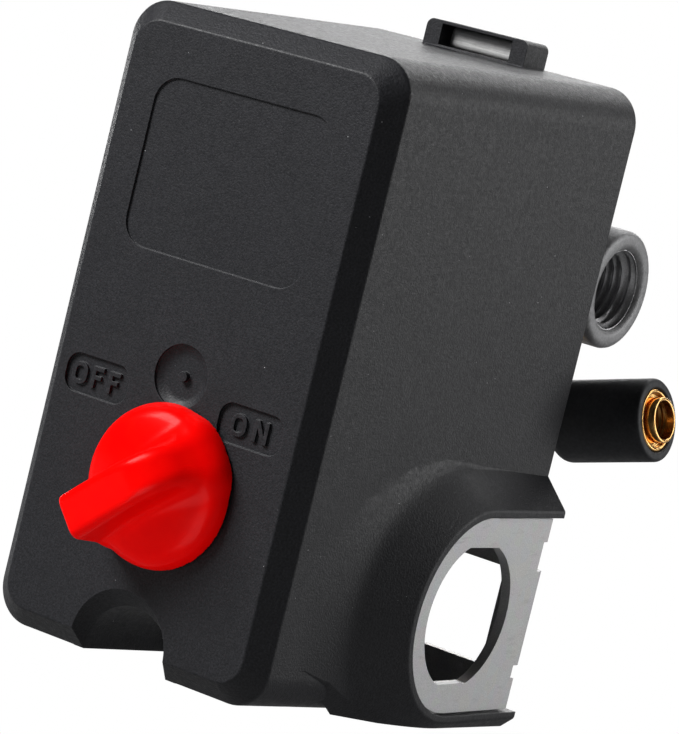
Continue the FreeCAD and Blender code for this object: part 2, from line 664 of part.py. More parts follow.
def cover_latch():
    """A spring-steel tongue on the base plate, which snaps into the loop of the cover."""
    rear = PLATE_FRONT_Y
    front = rear - TONGUE_THICKNESS
    low = LATCH_RIVET_Z - LATCH_FOOT_HALF
    foot_half = LATCH_RIVET_X + LATCH_FOOT_MARGIN
    foot = box((-foot_half, foot_half), (front, rear), (low, LATCH_RIVET_Z + LATCH_FOOT_HALF))
    tongue = box((-TONGUE_HALF_WIDTH, TONGUE_HALF_WIDTH), (front, rear),
                 (low, TONGUE_TOP_Z - TONGUE_LIP_RADIUS))
    lip_z = TONGUE_TOP_Z - TONGUE_LIP_RADIUS
    lip = along_x(TONGUE_LIP_RADIUS, TONGUE_LIP_Y, lip_z, -TONGUE_HALF_WIDTH, TONGUE_HALF_WIDTH)
    rolled = lip.makeFillet(TONGUE_LIP_RADIUS * 0.6, [edge for edge in lip.Edges if edge.Closed])
    shape = foot.fuse([tongue, rolled])
    for x in (-LATCH_RIVET_X, LATCH_RIVET_X):
        shape = shape.cut(along_y(RIVET_RADIUS + HOLE_CLEARANCE, x, LATCH_RIVET_Z, front, rear))
    return shape.removeSplitter()


def rivet(x, z, front_y, rear_y):
    """A rivet through sheets between two depths, headed in front and flush behind."""
    shank = along_y(RIVET_RADIUS, x, z, front_y, rear_y)
    head = along_y(RIVET_RADIUS * 1.8, x, z, front_y - 0.8, front_y)
    return shank.fuse(head).removeSplitter()


def latch_rivets():
    front_y = PLATE_FRONT_Y - TONGUE_THICKNESS
    return [rivet(x, LATCH_RIVET_Z, front_y, PLATE_REAR_Y) for x in (-LATCH_RIVET_X, LATCH_RIVET_X)]


def ground_screw():
    """A pan-head screw in the base plate, with a cross recess."""
    head = along_y(GROUND_RADIUS * 1.75, GROUND_X, GROUND_Z, GROUND_HEAD_Y, GROUND_HEAD_Y + 2.0)
    shank = along_y(GROUND_RADIUS, GROUND_X, GROUND_Z, GROUND_HEAD_Y + 2.0, PLATE_REAR_Y + 2.0)
    cross = cross_recess(GROUND_X, GROUND_HEAD_Y, GROUND_Z, GROUND_RADIUS * 0.9)
    return head.fuse(shank).cut(cross).removeSplitter()


def ground_washer():
    """A cupped wire washer under the ground screw's head."""
    start = V(GROUND_X, GROUND_HEAD_Y + 2.0, GROUND_Z)
    end = V(GROUND_X, PLATE_FRONT_Y, GROUND_Z)
    return tube(GROUND_RADIUS * 2, GROUND_RADIUS + HOLE_CLEARANCE, start, end)


def cross_recess(x, y, z, reach):
    """A shallow cross for a screwdriver, in a head that faces forward."""
    slot = 0.35
    return box((x - reach, x + reach), (y, y + 1), (z - slot, z + slot)).fuse(
        box((x - slot, x + slot), (y, y + 1), (z - reach, z + reach)))


# ---- Manifold, diaphragm and plunger --------------------------------------------


def flange_screw_places():
    return [(sx * SCREW_SPREAD, PORT_Z + sz * SCREW_SPREAD) for sx in (-1, 1) for sz in (-1, 1)]


def rivet_places():
    return [(sx * (CHEEK_X + FOOT_REACH / 2), z) for sx in (-1, 1) for z in RIVET_Z]


def diaphragm():
    """A square rubber sheet, clamped between the base plate and the manifold."""
    y_range = (PLATE_REAR_Y, PLATE_REAR_Y + DIAPHRAGM_THICKNESS)
    sheet = rounded_slab(FLANGE_HALF, (PORT_Z - FLANGE_HALF, PORT_Z + FLANGE_HALF), FLANGE_CORNER, y_range)
    holes = [along_y(SCREW_RADIUS + HOLE_CLEARANCE, x, z, *y_range) for x, z in flange_screw_places()]
    return sheet.cut(Part.makeCompound(holes))


def port_directions():
    """Each port's mouth and the unit vector that points out of it."""
    centre = V(0, PORT_AXIS_Y, PORT_Z)
    inlet = (V(0, INLET_MOUTH_Y, PORT_Z), Y_AXIS)
    return [inlet] + [(centre + d * SIDE_MOUTH, d) for d in (X_AXIS, -X_AXIS, Z_AXIS)]


def manifold():
    """A die-cast cross of four ports on a square flange, drilled through to the diaphragm."""
    flange_front = PLATE_REAR_Y + DIAPHRAGM_THICKNESS
    flange_rear = flange_front + FLANGE_THICKNESS
    centre = V(0, PORT_AXIS_Y, PORT_Z)
    flange = rounded_slab(FLANGE_HALF, (PORT_Z - FLANGE_HALF, PORT_Z + FLANGE_HALF), FLANGE_CORNER,
                          (flange_front, flange_rear))
    core = along_y(HUB_CORE_RADIUS, 0, PORT_Z, flange_rear, PORT_AXIS_Y + BOSS_RADIUS)
    body = flange.fuse(core)
    cuts = [along_y(CHAMBER_RADIUS, 0, PORT_Z, flange_front, flange_front + CHAMBER_DEPTH),
            along_y(CROSSWAY_RADIUS, 0, PORT_Z, flange_front, PORT_AXIS_Y)]
    for mouth, direction in port_directions():
        start = mouth - direction * BOSS_CHAMFER
        body = body.fuse([rod(BOSS_RADIUS, centre, start),
                          cone(BOSS_RADIUS, BOSS_RADIUS - BOSS_CHAMFER, start, mouth)])
        cuts.append(rod(PORT_RADIUS, mouth - direction * PORT_DEPTH, mouth))
        cuts.append(rod(CROSSWAY_RADIUS, centre, mouth))
    for x, z in flange_screw_places():
        cuts.append(along_y(SCREW_RADIUS + HOLE_CLEARANCE, x, z, flange_front, flange_rear))
    for cutter in cuts:
        body = body.cut(cutter)
    return body.removeSplitter()


def manifold_screws():
    """Four hexagon screws from behind, through the flange into the base plate."""
    head_y = PLATE_REAR_Y + DIAPHRAGM_THICKNESS + FLANGE_THICKNESS
    screws = []
    for x, z in flange_screw_places():
        washer = along_y(SCREW_RADIUS * 1.7, x, z, head_y, head_y + 0.4)
        head = hexagon(SCREW_RADIUS * 3, V(x, head_y + 0.4, z), Y_AXIS * 2)
        shank = along_y(SCREW_RADIUS, x, z, PLATE_FRONT_Y - 0.6, head_y)
        screws.append(shank.fuse([washer, head]).removeSplitter())
    return screws


def plunger():
    """A disc that the diaphragm pushes, with a domed nose against the lever."""
    disc = along_y(PLUNGER_RADIUS, 0, PORT_Z, PLUNGER_DISC_FRONT_Y, PLATE_REAR_Y)
    nose_y = PLUNGER_TIP_Y + PLUNGER_NOSE_RADIUS
    nose = along_y(PLUNGER_NOSE_RADIUS, 0, PORT_Z, nose_y, PLUNGER_DISC_FRONT_Y)
    dome = Part.makeSphere(PLUNGER_NOSE_RADIUS, V(0, nose_y, PORT_Z))
    return disc.fuse([nose, dome]).removeSplitter()


# ---- Lever, its frame and its springs -------------------------------------------


def spring_frame():
    """A bent steel bridge: two cheeks with feet on the base plate, joined at the front."""
    cheek = box((CHEEK_X, CHEEK_X + CHEEK_THICKNESS), (BRIDGE_FRONT_Y, PLATE_FRONT_Y),
                (CHEEK_LOW_Z, CHEEK_HIGH_Z))
    foot_depth = (PLATE_FRONT_Y - CHEEK_THICKNESS, PLATE_FRONT_Y)
    foot = box((CHEEK_X, CHEEK_X + FOOT_REACH), foot_depth, (CHEEK_LOW_Z, CHEEK_HIGH_Z))
    relief = box((CHEEK_X + CHEEK_THICKNESS, CHEEK_X + FOOT_REACH), foot_depth,
                 (RIVET_Z[0] + RIVET_LAND, RIVET_Z[1] - RIVET_LAND))
    side = cheek.fuse(foot).cut(relief)
    bridge = box((-CHEEK_X, CHEEK_X), (BRIDGE_FRONT_Y, BRIDGE_FRONT_Y + CHEEK_THICKNESS),
                 (CHEEK_LOW_Z, CHEEK_HIGH_Z))
    body = side.fuse([mirrored(side), bridge])
    bridge_rear = BRIDGE_FRONT_Y + CHEEK_THICKNESS
    cuts = [along_y(RANGE_SCREW_RADIUS + PIVOT_CLEARANCE, 0, RANGE_Z, BRIDGE_FRONT_Y, bridge_rear),
            along_y(DIFF_SCREW_RADIUS + PIVOT_CLEARANCE, 0, DIFF_Z, BRIDGE_FRONT_Y, bridge_rear),
            along_x(PIVOT_RADIUS + HOLE_CLEARANCE, LEVER_PIVOT_Y, LEVER_PIVOT_Z,
                    -CHEEK_X - CHEEK_THICKNESS, CHEEK_X + CHEEK_THICKNESS)]
    for x, z in rivet_places():
        cuts.append(along_y(RIVET_RADIUS + HOLE_CLEARANCE, x, z, PLATE_FRONT_Y - CHEEK_THICKNESS, PLATE_FRONT_Y))
    for x, z in flange_screw_places():
        cuts.append(along_y(SCREW_RADIUS + 1, x, z, PLATE_FRONT_Y - CHEEK_THICKNESS, PLATE_FRONT_Y))
    return body.cut(Part.makeCompound(cuts)).removeSplitter()


def frame_rivets():
    return [rivet(x, z, PLATE_FRONT_Y - CHEEK_THICKNESS, PLATE_REAR_Y) for x, z in rivet_places()]


def main_lever():
    """A flanged steel lever that hangs from its pin, in front of the plunger."""
    front = LEVER_REAR_Y - LEVER_THICKNESS
    plate = box((-LEVER_HALF_WIDTH, LEVER_HALF_WIDTH), (front, LEVER_REAR_Y), (SHOULDER_Z, LEVER_PIVOT_Z + 2.5))
    tail = box((-LEVER_TAIL_HALF, LEVER_TAIL_HALF), (front, LEVER_REAR_Y), (LEVER_LOW_Z, SHOULDER_Z))
    hook = box((-0.8, 0.8), (front - 3.0, front), (LEVER_LOW_Z, LEVER_LOW_Z + 4.0))
    flange = box((LEVER_HALF_WIDTH - CHEEK_THICKNESS, LEVER_HALF_WIDTH),
                 (LEVER_PIVOT_Y - 3.0, front), (LEVER_PIVOT_Z - 6.0, LEVER_PIVOT_Z + 2.5))
    body = plate.fuse([tail, hook, flange, mirrored(flange)])
    pin_hole = along_x(PIVOT_RADIUS + PIVOT_CLEARANCE, LEVER_PIVOT_Y, LEVER_PIVOT_Z,
                       -LEVER_HALF_WIDTH, LEVER_HALF_WIDTH)
    return body.cut(pin_hole).removeSplitter()


def lever_pin():
    """The lever's pivot pin, through both cheeks."""
    reach = CHEEK_X + CHEEK_THICKNESS + 1.6
    return along_x(PIVOT_RADIUS, LEVER_PIVOT_Y, LEVER_PIVOT_Z, -reach, reach)


def pin_clips():
    """Push-on rings at both ends of the lever's pin."""
    start = CHEEK_X + CHEEK_THICKNESS + 0.1
    ring = tube(PIVOT_RADIUS * 2, PIVOT_RADIUS - 0.02, V(start, LEVER_PIVOT_Y, LEVER_PIVOT_Z),
                V(start + 0.7, LEVER_PIVOT_Y, LEVER_PIVOT_Z))
    return [ring, mirrored(ring)]


def spring_seat():
    """A cup on the lever that centres both springs' rear ends."""
    rear = LEVER_REAR_Y - LEVER_THICKNESS
    front = rear - SEAT_THICKNESS
    plate = box((-SEAT_HALF_WIDTH, SEAT_HALF_WIDTH), (front, rear), (DIFF_Z - 3.6, RANGE_Z + 6.6))
    pegs = [along_y(RANGE_SPRING_RADIUS - RANGE_WIRE / 2 - 0.3, 0, RANGE_Z, front - 2.0, front),
            along_y(DIFF_SPRING_RADIUS - DIFF_WIRE / 2 - 0.3, 0, DIFF_Z, front - 2.0, front)]
    return plate.fuse(pegs).removeSplitter()


def adjuster_screw(z, radius, end_y):
    """A hexagon-headed adjusting screw in the bridge, held endwise by a collar behind it."""
    head = hexagon(radius * 3.2, V(0, BRIDGE_FRONT_Y - 3.6, z), Y_AXIS * 3.5)
    shank = along_y(radius, 0, z, BRIDGE_FRONT_Y - 0.1, end_y)
    collar_y = BRIDGE_FRONT_Y + CHEEK_THICKNESS + 0.1
    collar = along_y(radius * 1.4, 0, z, collar_y, collar_y + 1.0)
    slot = box((-radius * 1.4, radius * 1.4), (BRIDGE_FRONT_Y - 3.6, BRIDGE_FRONT_Y - 2.4), (z - 0.4, z + 0.4))
    return head.fuse([shank, collar]).cut(slot).removeSplitter()


def adjuster_nut(z, radius, half_width, half_height, y_front, spring_inner):
    """A square nut that can't turn between the cheeks, with a boss for its spring."""
    y_rear = y_front + NUT_THICKNESS
    plate = box((-half_width, half_width), (y_front, y_rear), (z - half_height, z + half_height))
    boss = along_y(spring_inner, 0, z, y_rear, y_rear + NUT_BOSS)
    bore = along_y(radius + PIVOT_CLEARANCE, 0, z, y_front, y_rear + NUT_BOSS)
    return plate.fuse(boss).cut(bore).removeSplitter()


# ---- Contact block ---------------------------------------------------------------


def contact_block():
    """A phenolic block with a middle slot for the rocker and two legs on the base plate."""
    depth = (BLOCK_FRONT_Y, BLOCK_REAR_Y)
    block = box((-BLOCK_HALF_WIDTH, BLOCK_HALF_WIDTH), depth, (BLOCK_LOW_Z, BLOCK_HIGH_Z))
    leg = along_y(LEG_RADIUS, BLOCK_SCREW_X, BLOCK_SCREW_Z, BLOCK_REAR_Y, PLATE_FRONT_Y)
    slot = box((-SLOT_HALF_WIDTH, SLOT_HALF_WIDTH), depth, (SLOT_LOW_Z, BLOCK_HIGH_Z))
    body = block.fuse([leg, mirrored(leg)]).cut(slot)
    pivot = along_x(PIVOT_RADIUS + HOLE_CLEARANCE, ROCKER_PIVOT_Y, ROCKER_PIVOT_Z,
                    -BLOCK_HALF_WIDTH, BLOCK_HALF_WIDTH)
    cuts = [pivot]
    hole_radius = SMALL_SCREW_RADIUS + HOLE_CLEARANCE
    for x in (-BLOCK_SCREW_X, BLOCK_SCREW_X):
        cuts.append(along_y(hole_radius, x, BLOCK_SCREW_Z, BLOCK_SCREW_END_Y, PLATE_FRONT_Y))
    for x in CONTACT_XS:
        cuts.append(along_y(hole_radius, x, TERMINAL_Z, BLOCK_FRONT_Y, TERMINAL_END_Y))
    body = body.cut(Part.makeCompound(cuts))
    barrier_xs = [(CONTACT_XS[0] + CONTACT_XS[1]) / 2, 0, (CONTACT_XS[2] + CONTACT_XS[3]) / 2]
    barriers = [box((x - 0.6, x + 0.6), (BLOCK_FRONT_Y - BARRIER_HEIGHT, BLOCK_FRONT_Y),
                    (BLOCK_LOW_Z, TERMINAL_Z + 4)) for x in barrier_xs]
    return body.fuse(barriers).removeSplitter()


def block_screws():
    """Two screws from behind the base plate into the legs of the contact block."""
    screws = []
    for x in (-BLOCK_SCREW_X, BLOCK_SCREW_X):
        head = along_y(SMALL_SCREW_RADIUS * 2, x, BLOCK_SCREW_Z, PLATE_REAR_Y, PLATE_REAR_Y + 2.0)
        shank = along_y(SMALL_SCREW_RADIUS, x, BLOCK_SCREW_Z, BLOCK_SCREW_END_Y + 0.5, PLATE_REAR_Y)
        cross = cross_recess(x, PLATE_REAR_Y + 1.2, BLOCK_SCREW_Z, SMALL_SCREW_RADIUS)
        screws.append(head.fuse(shank).cut(cross).removeSplitter())
    return screws


def fixed_contacts():
    """Four brass strips, each from a terminal up to a contact point."""
    strips = []
    front = BLOCK_FRONT_Y - CONTACT_SHEET
    for x in CONTACT_XS:
        strip = box((x - CONTACT_WIDTH / 2, x + CONTACT_WIDTH / 2), (front, BLOCK_FRONT_Y),
                    (TERMINAL_Z - 4, CONTACT_TIP_Z + 2.2))
        tip = along_y(TIP_RADIUS, x, CONTACT_TIP_Z, front - TIP_HEIGHT, front)
        hole = along_y(SMALL_SCREW_RADIUS + HOLE_CLEARANCE, x, TERMINAL_Z, front, BLOCK_FRONT_Y)
        strips.append(strip.fuse(tip).cut(hole).removeSplitter())
    return strips


def terminal_clamps():
    """Four saddle plates that the terminal screws press on the wires."""
    rear = BLOCK_FRONT_Y - CONTACT_SHEET
    clamps = []
    for x in CONTACT_XS:
        plate = box((x - CONTACT_WIDTH / 2, x + CONTACT_WIDTH / 2), (rear - 1.0, rear),
                    (TERMINAL_Z - 3, TERMINAL_Z + 3))
        hole = along_y(SMALL_SCREW_RADIUS + HOLE_CLEARANCE, x, TERMINAL_Z, rear - 1.0, rear)
        clamps.append(plate.cut(hole))
    return clamps


def terminal_screws():
    """Four cross-head screws in the front of the contact block."""
    head_rear = BLOCK_FRONT_Y - CONTACT_SHEET - 1.0
    screws = []
    for x in CONTACT_XS:
        head = along_y(SMALL_SCREW_RADIUS * 1.6, x, TERMINAL_Z, head_rear - 1.8, head_rear)
        shank = along_y(SMALL_SCREW_RADIUS, x, TERMINAL_Z, head_rear, TERMINAL_END_Y - 0.5)
        cross = cross_recess(x, head_rear - 1.8, TERMINAL_Z, SMALL_SCREW_RADIUS)
        screws.append(head.fuse(shank).cut(cross).removeSplitter())
    return screws


def contact_bridges():
    """Two copper bars with contact points, each of which joins a pair of strips."""
    rear = BLOCK_FRONT_Y - CONTACT_SHEET - TIP_HEIGHT
    bars = []
    for first, last in (CONTACT_XS[:2], CONTACT_XS[2:]):
        bar = box((first - TIP_RADIUS, last + TIP_RADIUS), (rear - TIP_HEIGHT - 1.2, rear - TIP_HEIGHT),
                  (CONTACT_TIP_Z - TIP_RADIUS, CONTACT_TIP_Z + TIP_RADIUS))
        tips = [along_y(TIP_RADIUS - 0.1, x, CONTACT_TIP_Z, rear - TIP_HEIGHT, rear) for x in (first, last)]
        bars.append(bar.fuse(tips).removeSplitter())
    return bars


def contact_rocker():
    """A plastic rocker: a crosshead that carries the bridges and an arm to the unloader stem."""
    head_rear = BLOCK_FRONT_Y - CONTACT_SHEET - 2 * TIP_HEIGHT - 1.2
    head = box((CONTACT_XS[0] - 0.5, CONTACT_XS[3] + 0.5), (head_rear - 2.6, head_rear),
               (CONTACT_TIP_Z - 2.6, CONTACT_TIP_Z + 2.6))
    post = box((-1.0, 1.0), (head_rear - 2.6, head_rear), (CONTACT_TIP_Z + 2.6, CONTACT_TIP_Z + 5.6))
    width = (-ROCKER_HALF_WIDTH, ROCKER_HALF_WIDTH)
    eye_radius = PIVOT_RADIUS + 2.0
    eye = along_x(eye_radius, ROCKER_PIVOT_Y, ROCKER_PIVOT_Z, *width)
    upper = Part.Face(Part.makePolygon([
        V(width[0], head_rear - 2.6, CONTACT_TIP_Z - 2.6), V(width[0], head_rear, CONTACT_TIP_Z + 2.0),
        V(width[0], ROCKER_PIVOT_Y + 2.4, ROCKER_PIVOT_Z + 2.4),
        V(width[0], ROCKER_PIVOT_Y - 2.4, ROCKER_PIVOT_Z - 2.4),
        V(width[0], head_rear - 2.6, CONTACT_TIP_Z - 2.6)])).extrude(V(2 * ROCKER_HALF_WIDTH, 0, 0))
    lower = Part.Face(Part.makePolygon([
        V(width[0], ROCKER_PIVOT_Y - 2.4, ROCKER_PIVOT_Z - 2.4),
        V(width[0], ROCKER_PIVOT_Y + 2.4, ROCKER_PIVOT_Z + 2.4),
        V(width[0], ROCKER_PUSH_Y, UNLOADER_Z + 2.6), V(width[0], ROCKER_PUSH_Y, UNLOADER_Z - 2.0),
        V(width[0], ROCKER_PUSH_Y - 3.2, UNLOADER_Z - 2.0),
        V(width[0], ROCKER_PIVOT_Y - 2.4, ROCKER_PIVOT_Z - 2.4)])).extrude(V(2 * ROCKER_HALF_WIDTH, 0, 0))
    bore = along_x(PIVOT_RADIUS + PIVOT_CLEARANCE, ROCKER_PIVOT_Y, ROCKER_PIVOT_Z, *width)
    return head.fuse([post, eye, upper, lower]).cut(bore).removeSplitter()


def rocker_pin():
    """The rocker's pivot pin, across the contact block."""
    reach = BLOCK_HALF_WIDTH - 0.2
    return along_x(PIVOT_RADIUS, ROCKER_PIVOT_Y, ROCKER_PIVOT_Z, -reach, reach)


# ---- Unloader valve --------------------------------------------------------------


def on_arm(distance):
    """A point on the unloader's side arm, by its distance from the stem's axis."""
    tilt = math.radians(UNLOADER_ARM_TILT)
    return V(distance * math.cos(tilt), PORT_AXIS_Y, UNLOADER_Z + distance * math.sin(tilt))


def unloader_body():
    """A brass body with a threaded neck through the base plate and a side arm for the hose."""
    body = along_y(UNLOADER_BODY_RADIUS, 0, UNLOADER_Z, PLATE_REAR_Y, UNLOADER_BODY_END_Y)
    neck = along_y(UNLOADER_NECK_RADIUS, 0, UNLOADER_Z, NECK_FRONT_Y, PLATE_REAR_Y)
    arm = rod(ARM_RADIUS, on_arm(0), on_arm(FERRULE_START))
    shape = body.fuse([neck, arm])
    cuts = [along_y(STEM_RADIUS + PIVOT_CLEARANCE, 0, UNLOADER_Z, NECK_FRONT_Y, SEAT_Y),
            along_y(VALVE_CHAMBER_RADIUS, 0, UNLOADER_Z, SEAT_Y, UNLOADER_BODY_END_Y),
            rod(1.6, on_arm(0), on_arm(TUBE_START)),
            rod(TUBE_RADIUS + HOLE_CLEARANCE, on_arm(TUBE_START), on_arm(FERRULE_START))]
    for cutter in cuts:
        shape = shape.cut(cutter)
    return shape.removeSplitter()


def unloader_nut():
    """The thin nut that clamps the unloader to the base plate."""
    nut = hexagon(11.0, V(0, PLATE_FRONT_Y - NUT_HEIGHT, UNLOADER_Z), Y_AXIS * NUT_HEIGHT)
    return nut.cut(along_y(UNLOADER_NECK_RADIUS + HOLE_CLEARANCE, 0, UNLOADER_Z,
                           PLATE_FRONT_Y - NUT_HEIGHT, PLATE_FRONT_Y))


def unloader_stem():
    """The stem that the rocker pushes, with the valve's head behind the seat."""
    nose_y = ROCKER_PUSH_Y + STEM_GAP + STEM_RADIUS
    nose = Part.makeSphere(STEM_RADIUS, V(0, nose_y, UNLOADER_Z))
    rod_part = along_y(STEM_RADIUS, 0, UNLOADER_Z, nose_y, SEAT_Y + SEAL_THICKNESS)
    head = along_y(HEAD_RADIUS, 0, UNLOADER_Z, SEAT_Y + SEAL_THICKNESS, SEAT_Y + SEAL_THICKNESS + 1.4)
    return nose.fuse([rod_part, head]).removeSplitter()


def unloader_seal():
    """The rubber washer between the valve's head and its seat."""
    return tube(HEAD_RADIUS, STEM_RADIUS + HOLE_CLEARANCE, V(0, SEAT_Y + 0.02, UNLOADER_Z),
                V(0, SEAT_Y + SEAL_THICKNESS, UNLOADER_Z))


def unloader_cap():
    """The hexagon plug that closes the unloader and backs its spring."""
    plug = along_y(VALVE_CHAMBER_RADIUS - HOLE_CLEARANCE, 0, UNLOADER_Z, UNLOADER_BODY_END_Y - 2.0,
                   UNLOADER_BODY_END_Y)
    head = hexagon(10.5, V(0, UNLOADER_BODY_END_Y, UNLOADER_Z), Y_AXIS * 3.0)
    return plug.fuse(head).removeSplitter()


def unloader_sleeve():
    """The soft black sleeve over the side arm, tapered at its inner end and rounded at its mouth."""
    taper_end = SLEEVE_START + SLEEVE_TAPER
    round_start = SLEEVE_END - SLEEVE_ROUND
    taper = cone(SLEEVE_RADIUS - SLEEVE_TAPER, SLEEVE_RADIUS, on_arm(SLEEVE_START), on_arm(taper_end))
    barrel = rod(SLEEVE_RADIUS, on_arm(taper_end), on_arm(round_start))
    mouth = cone(SLEEVE_RADIUS, SLEEVE_RADIUS - SLEEVE_ROUND * 0.6, on_arm(round_start), on_arm(SLEEVE_END))
    arm_bore = rod(ARM_RADIUS + HOLE_CLEARANCE, on_arm(SLEEVE_START), on_arm(FERRULE_START))
    ferrule_bore = rod(FERRULE_RADIUS + HOLE_CLEARANCE, on_arm(FERRULE_START), on_arm(SLEEVE_END))
    return taper.fuse([barrel, mouth]).cut(arm_bore).cut(ferrule_bore).removeSplitter()


def unloader_ferrule():
    """The brass ring in the sleeve's mouth, stepped down to the tube."""
    ring = rod(FERRULE_RADIUS, on_arm(FERRULE_START), on_arm(FERRULE_END))
    cup = rod(FERRULE_RADIUS - FERRULE_WALL, on_arm(FERRULE_END - FERRULE_CUP), on_arm(FERRULE_END))
    bore = rod(TUBE_RADIUS + HOLE_CLEARANCE, on_arm(FERRULE_START), on_arm(FERRULE_END))
    return ring.cut(cup).cut(bore)


def unloader_tube():
    """The brass tube end that the hose slips over."""
    outer = rod(TUBE_RADIUS, on_arm(TUBE_START), on_arm(TUBE_END))
    return outer.cut(rod(TUBE_BORE_RADIUS, on_arm(TUBE_START), on_arm(TUBE_END)))


if __name__ == "__main__":
    os.makedirs("parts", exist_ok=True)
    save("cover", cover())
    save("knob", knob())
    save("knob_shaft", knob_shaft())
    save("knob_clip", knob_clip())
    save("off_slider", off_slider())
    save("bracket", bracket())
    save("cover_latch", cover_latch())
    save("latch_rivets", *latch_rivets())
    save("ground_screw", ground_screw())
    save("ground_washer", ground_washer())
    save("manifold", manifold())
    save("manifold_screws", *manifold_screws())
    save("diaphragm", diaphragm())
    save("plunger", plunger())
    save("spring_frame", spring_frame())
    save("frame_rivets", *frame_rivets())
    save("main_lever", main_lever())
    save("lever_pin", lever_pin())
    save("pin_clips", *pin_clips())
    save("spring_seat", spring_seat())
    seat_y = LEVER_REAR_Y - LEVER_THICKNESS - SEAT_THICKNESS
    save("range_screw", adjuster_screw(RANGE_Z, RANGE_SCREW_RADIUS, RANGE_NUT_Y + 9))
    save("range_nut", adjuster_nut(RANGE_Z, RANGE_SCREW_RADIUS, CHEEK_X - 0.3, 5.0, RANGE_NUT_Y,
                                   RANGE_SPRING_RADIUS - RANGE_WIRE / 2 - 0.3))
    save("range_spring", coil(RANGE_SPRING_RADIUS, RANGE_WIRE / 2, RANGE_TURNS,
                              V(0, RANGE_NUT_Y + NUT_THICKNESS, RANGE_Z), V(0, seat_y, RANGE_Z)))
    save("differential_screw", adjuster_screw(DIFF_Z, DIFF_SCREW_RADIUS, DIFF_NUT_Y + 9))
    save("differential_nut", adjuster_nut(DIFF_Z, DIFF_SCREW_RADIUS, 6.0, 3.4, DIFF_NUT_Y,
                                          DIFF_SPRING_RADIUS - DIFF_WIRE / 2 - 0.1))
    save("differential_spring", coil(DIFF_SPRING_RADIUS, DIFF_WIRE / 2, DIFF_TURNS,
                                     V(0, DIFF_NUT_Y + NUT_THICKNESS, DIFF_Z), V(0, seat_y, DIFF_Z)))
    save("contact_block", contact_block())
    save("block_screws", *block_screws())
    save("fixed_contacts", *fixed_contacts())
    save("terminal_clamps", *terminal_clamps())
    save("terminal_screws", *terminal_screws())
    save("contact_bridges", *contact_bridges())
    save("contact_rocker", contact_rocker())
    save("rocker_pin", rocker_pin())
    save("snap_spring", coil(1.5, 0.3, 8, V(0, 35.2, CONTACT_TIP_Z + 4.6), V(0, 46.9, LEVER_LOW_Z + 2.6)))
    save("unloader_body", unloader_body())
    save("unloader_nut", unloader_nut())
    save("unloader_stem", unloader_stem())
    save("unloader_seal", unloader_seal())
    save("unloader_spring", coil(2.2, 0.3, 5, V(0, SEAT_Y + SEAL_THICKNESS + 1.4, UNLOADER_Z),
                                 V(0, UNLOADER_BODY_END_Y - 2.0, UNLOADER_Z)))
    save("unloader_cap", unloader_cap())
    save("unloader_sleeve", unloader_sleeve())
    save("unloader_ferrule", unloader_ferrule())
    save("unloader_tube", unloader_tube())
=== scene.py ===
"""Looks of the pressure switch: shells, rounded mouldings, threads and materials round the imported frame."""

import json
import math

import bmesh
import bpy
import numpy as np
from mathutils import Matrix, Vector


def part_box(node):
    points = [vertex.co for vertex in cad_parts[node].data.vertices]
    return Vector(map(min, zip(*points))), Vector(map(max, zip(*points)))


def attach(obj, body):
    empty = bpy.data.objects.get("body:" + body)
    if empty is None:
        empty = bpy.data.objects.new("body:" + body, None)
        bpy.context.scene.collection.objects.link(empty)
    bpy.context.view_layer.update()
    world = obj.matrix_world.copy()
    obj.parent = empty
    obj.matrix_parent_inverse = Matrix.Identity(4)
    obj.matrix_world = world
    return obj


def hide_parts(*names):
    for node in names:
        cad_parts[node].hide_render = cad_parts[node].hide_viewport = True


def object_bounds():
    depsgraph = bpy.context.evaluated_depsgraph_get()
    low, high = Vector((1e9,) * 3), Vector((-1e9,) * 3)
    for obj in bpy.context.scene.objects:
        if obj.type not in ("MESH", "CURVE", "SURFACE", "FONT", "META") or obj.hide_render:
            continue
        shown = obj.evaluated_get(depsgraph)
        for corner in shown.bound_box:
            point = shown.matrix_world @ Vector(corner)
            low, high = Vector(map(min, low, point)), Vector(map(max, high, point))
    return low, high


MM = 0.001
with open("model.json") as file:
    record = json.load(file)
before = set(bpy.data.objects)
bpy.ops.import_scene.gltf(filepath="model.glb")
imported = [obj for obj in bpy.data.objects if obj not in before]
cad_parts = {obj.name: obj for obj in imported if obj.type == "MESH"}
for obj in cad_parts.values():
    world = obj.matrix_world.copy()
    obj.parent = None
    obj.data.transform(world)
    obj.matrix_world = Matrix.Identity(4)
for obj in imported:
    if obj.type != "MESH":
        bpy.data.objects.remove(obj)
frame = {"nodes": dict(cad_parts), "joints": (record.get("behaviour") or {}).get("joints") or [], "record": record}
cad_low, cad_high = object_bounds()
nodes = frame["nodes"]
record = frame["record"]
mounts = {m["name"]: m for m in record["mounts"]}

# ---- Signed distance shapes, in millimetres ---------------------------------------


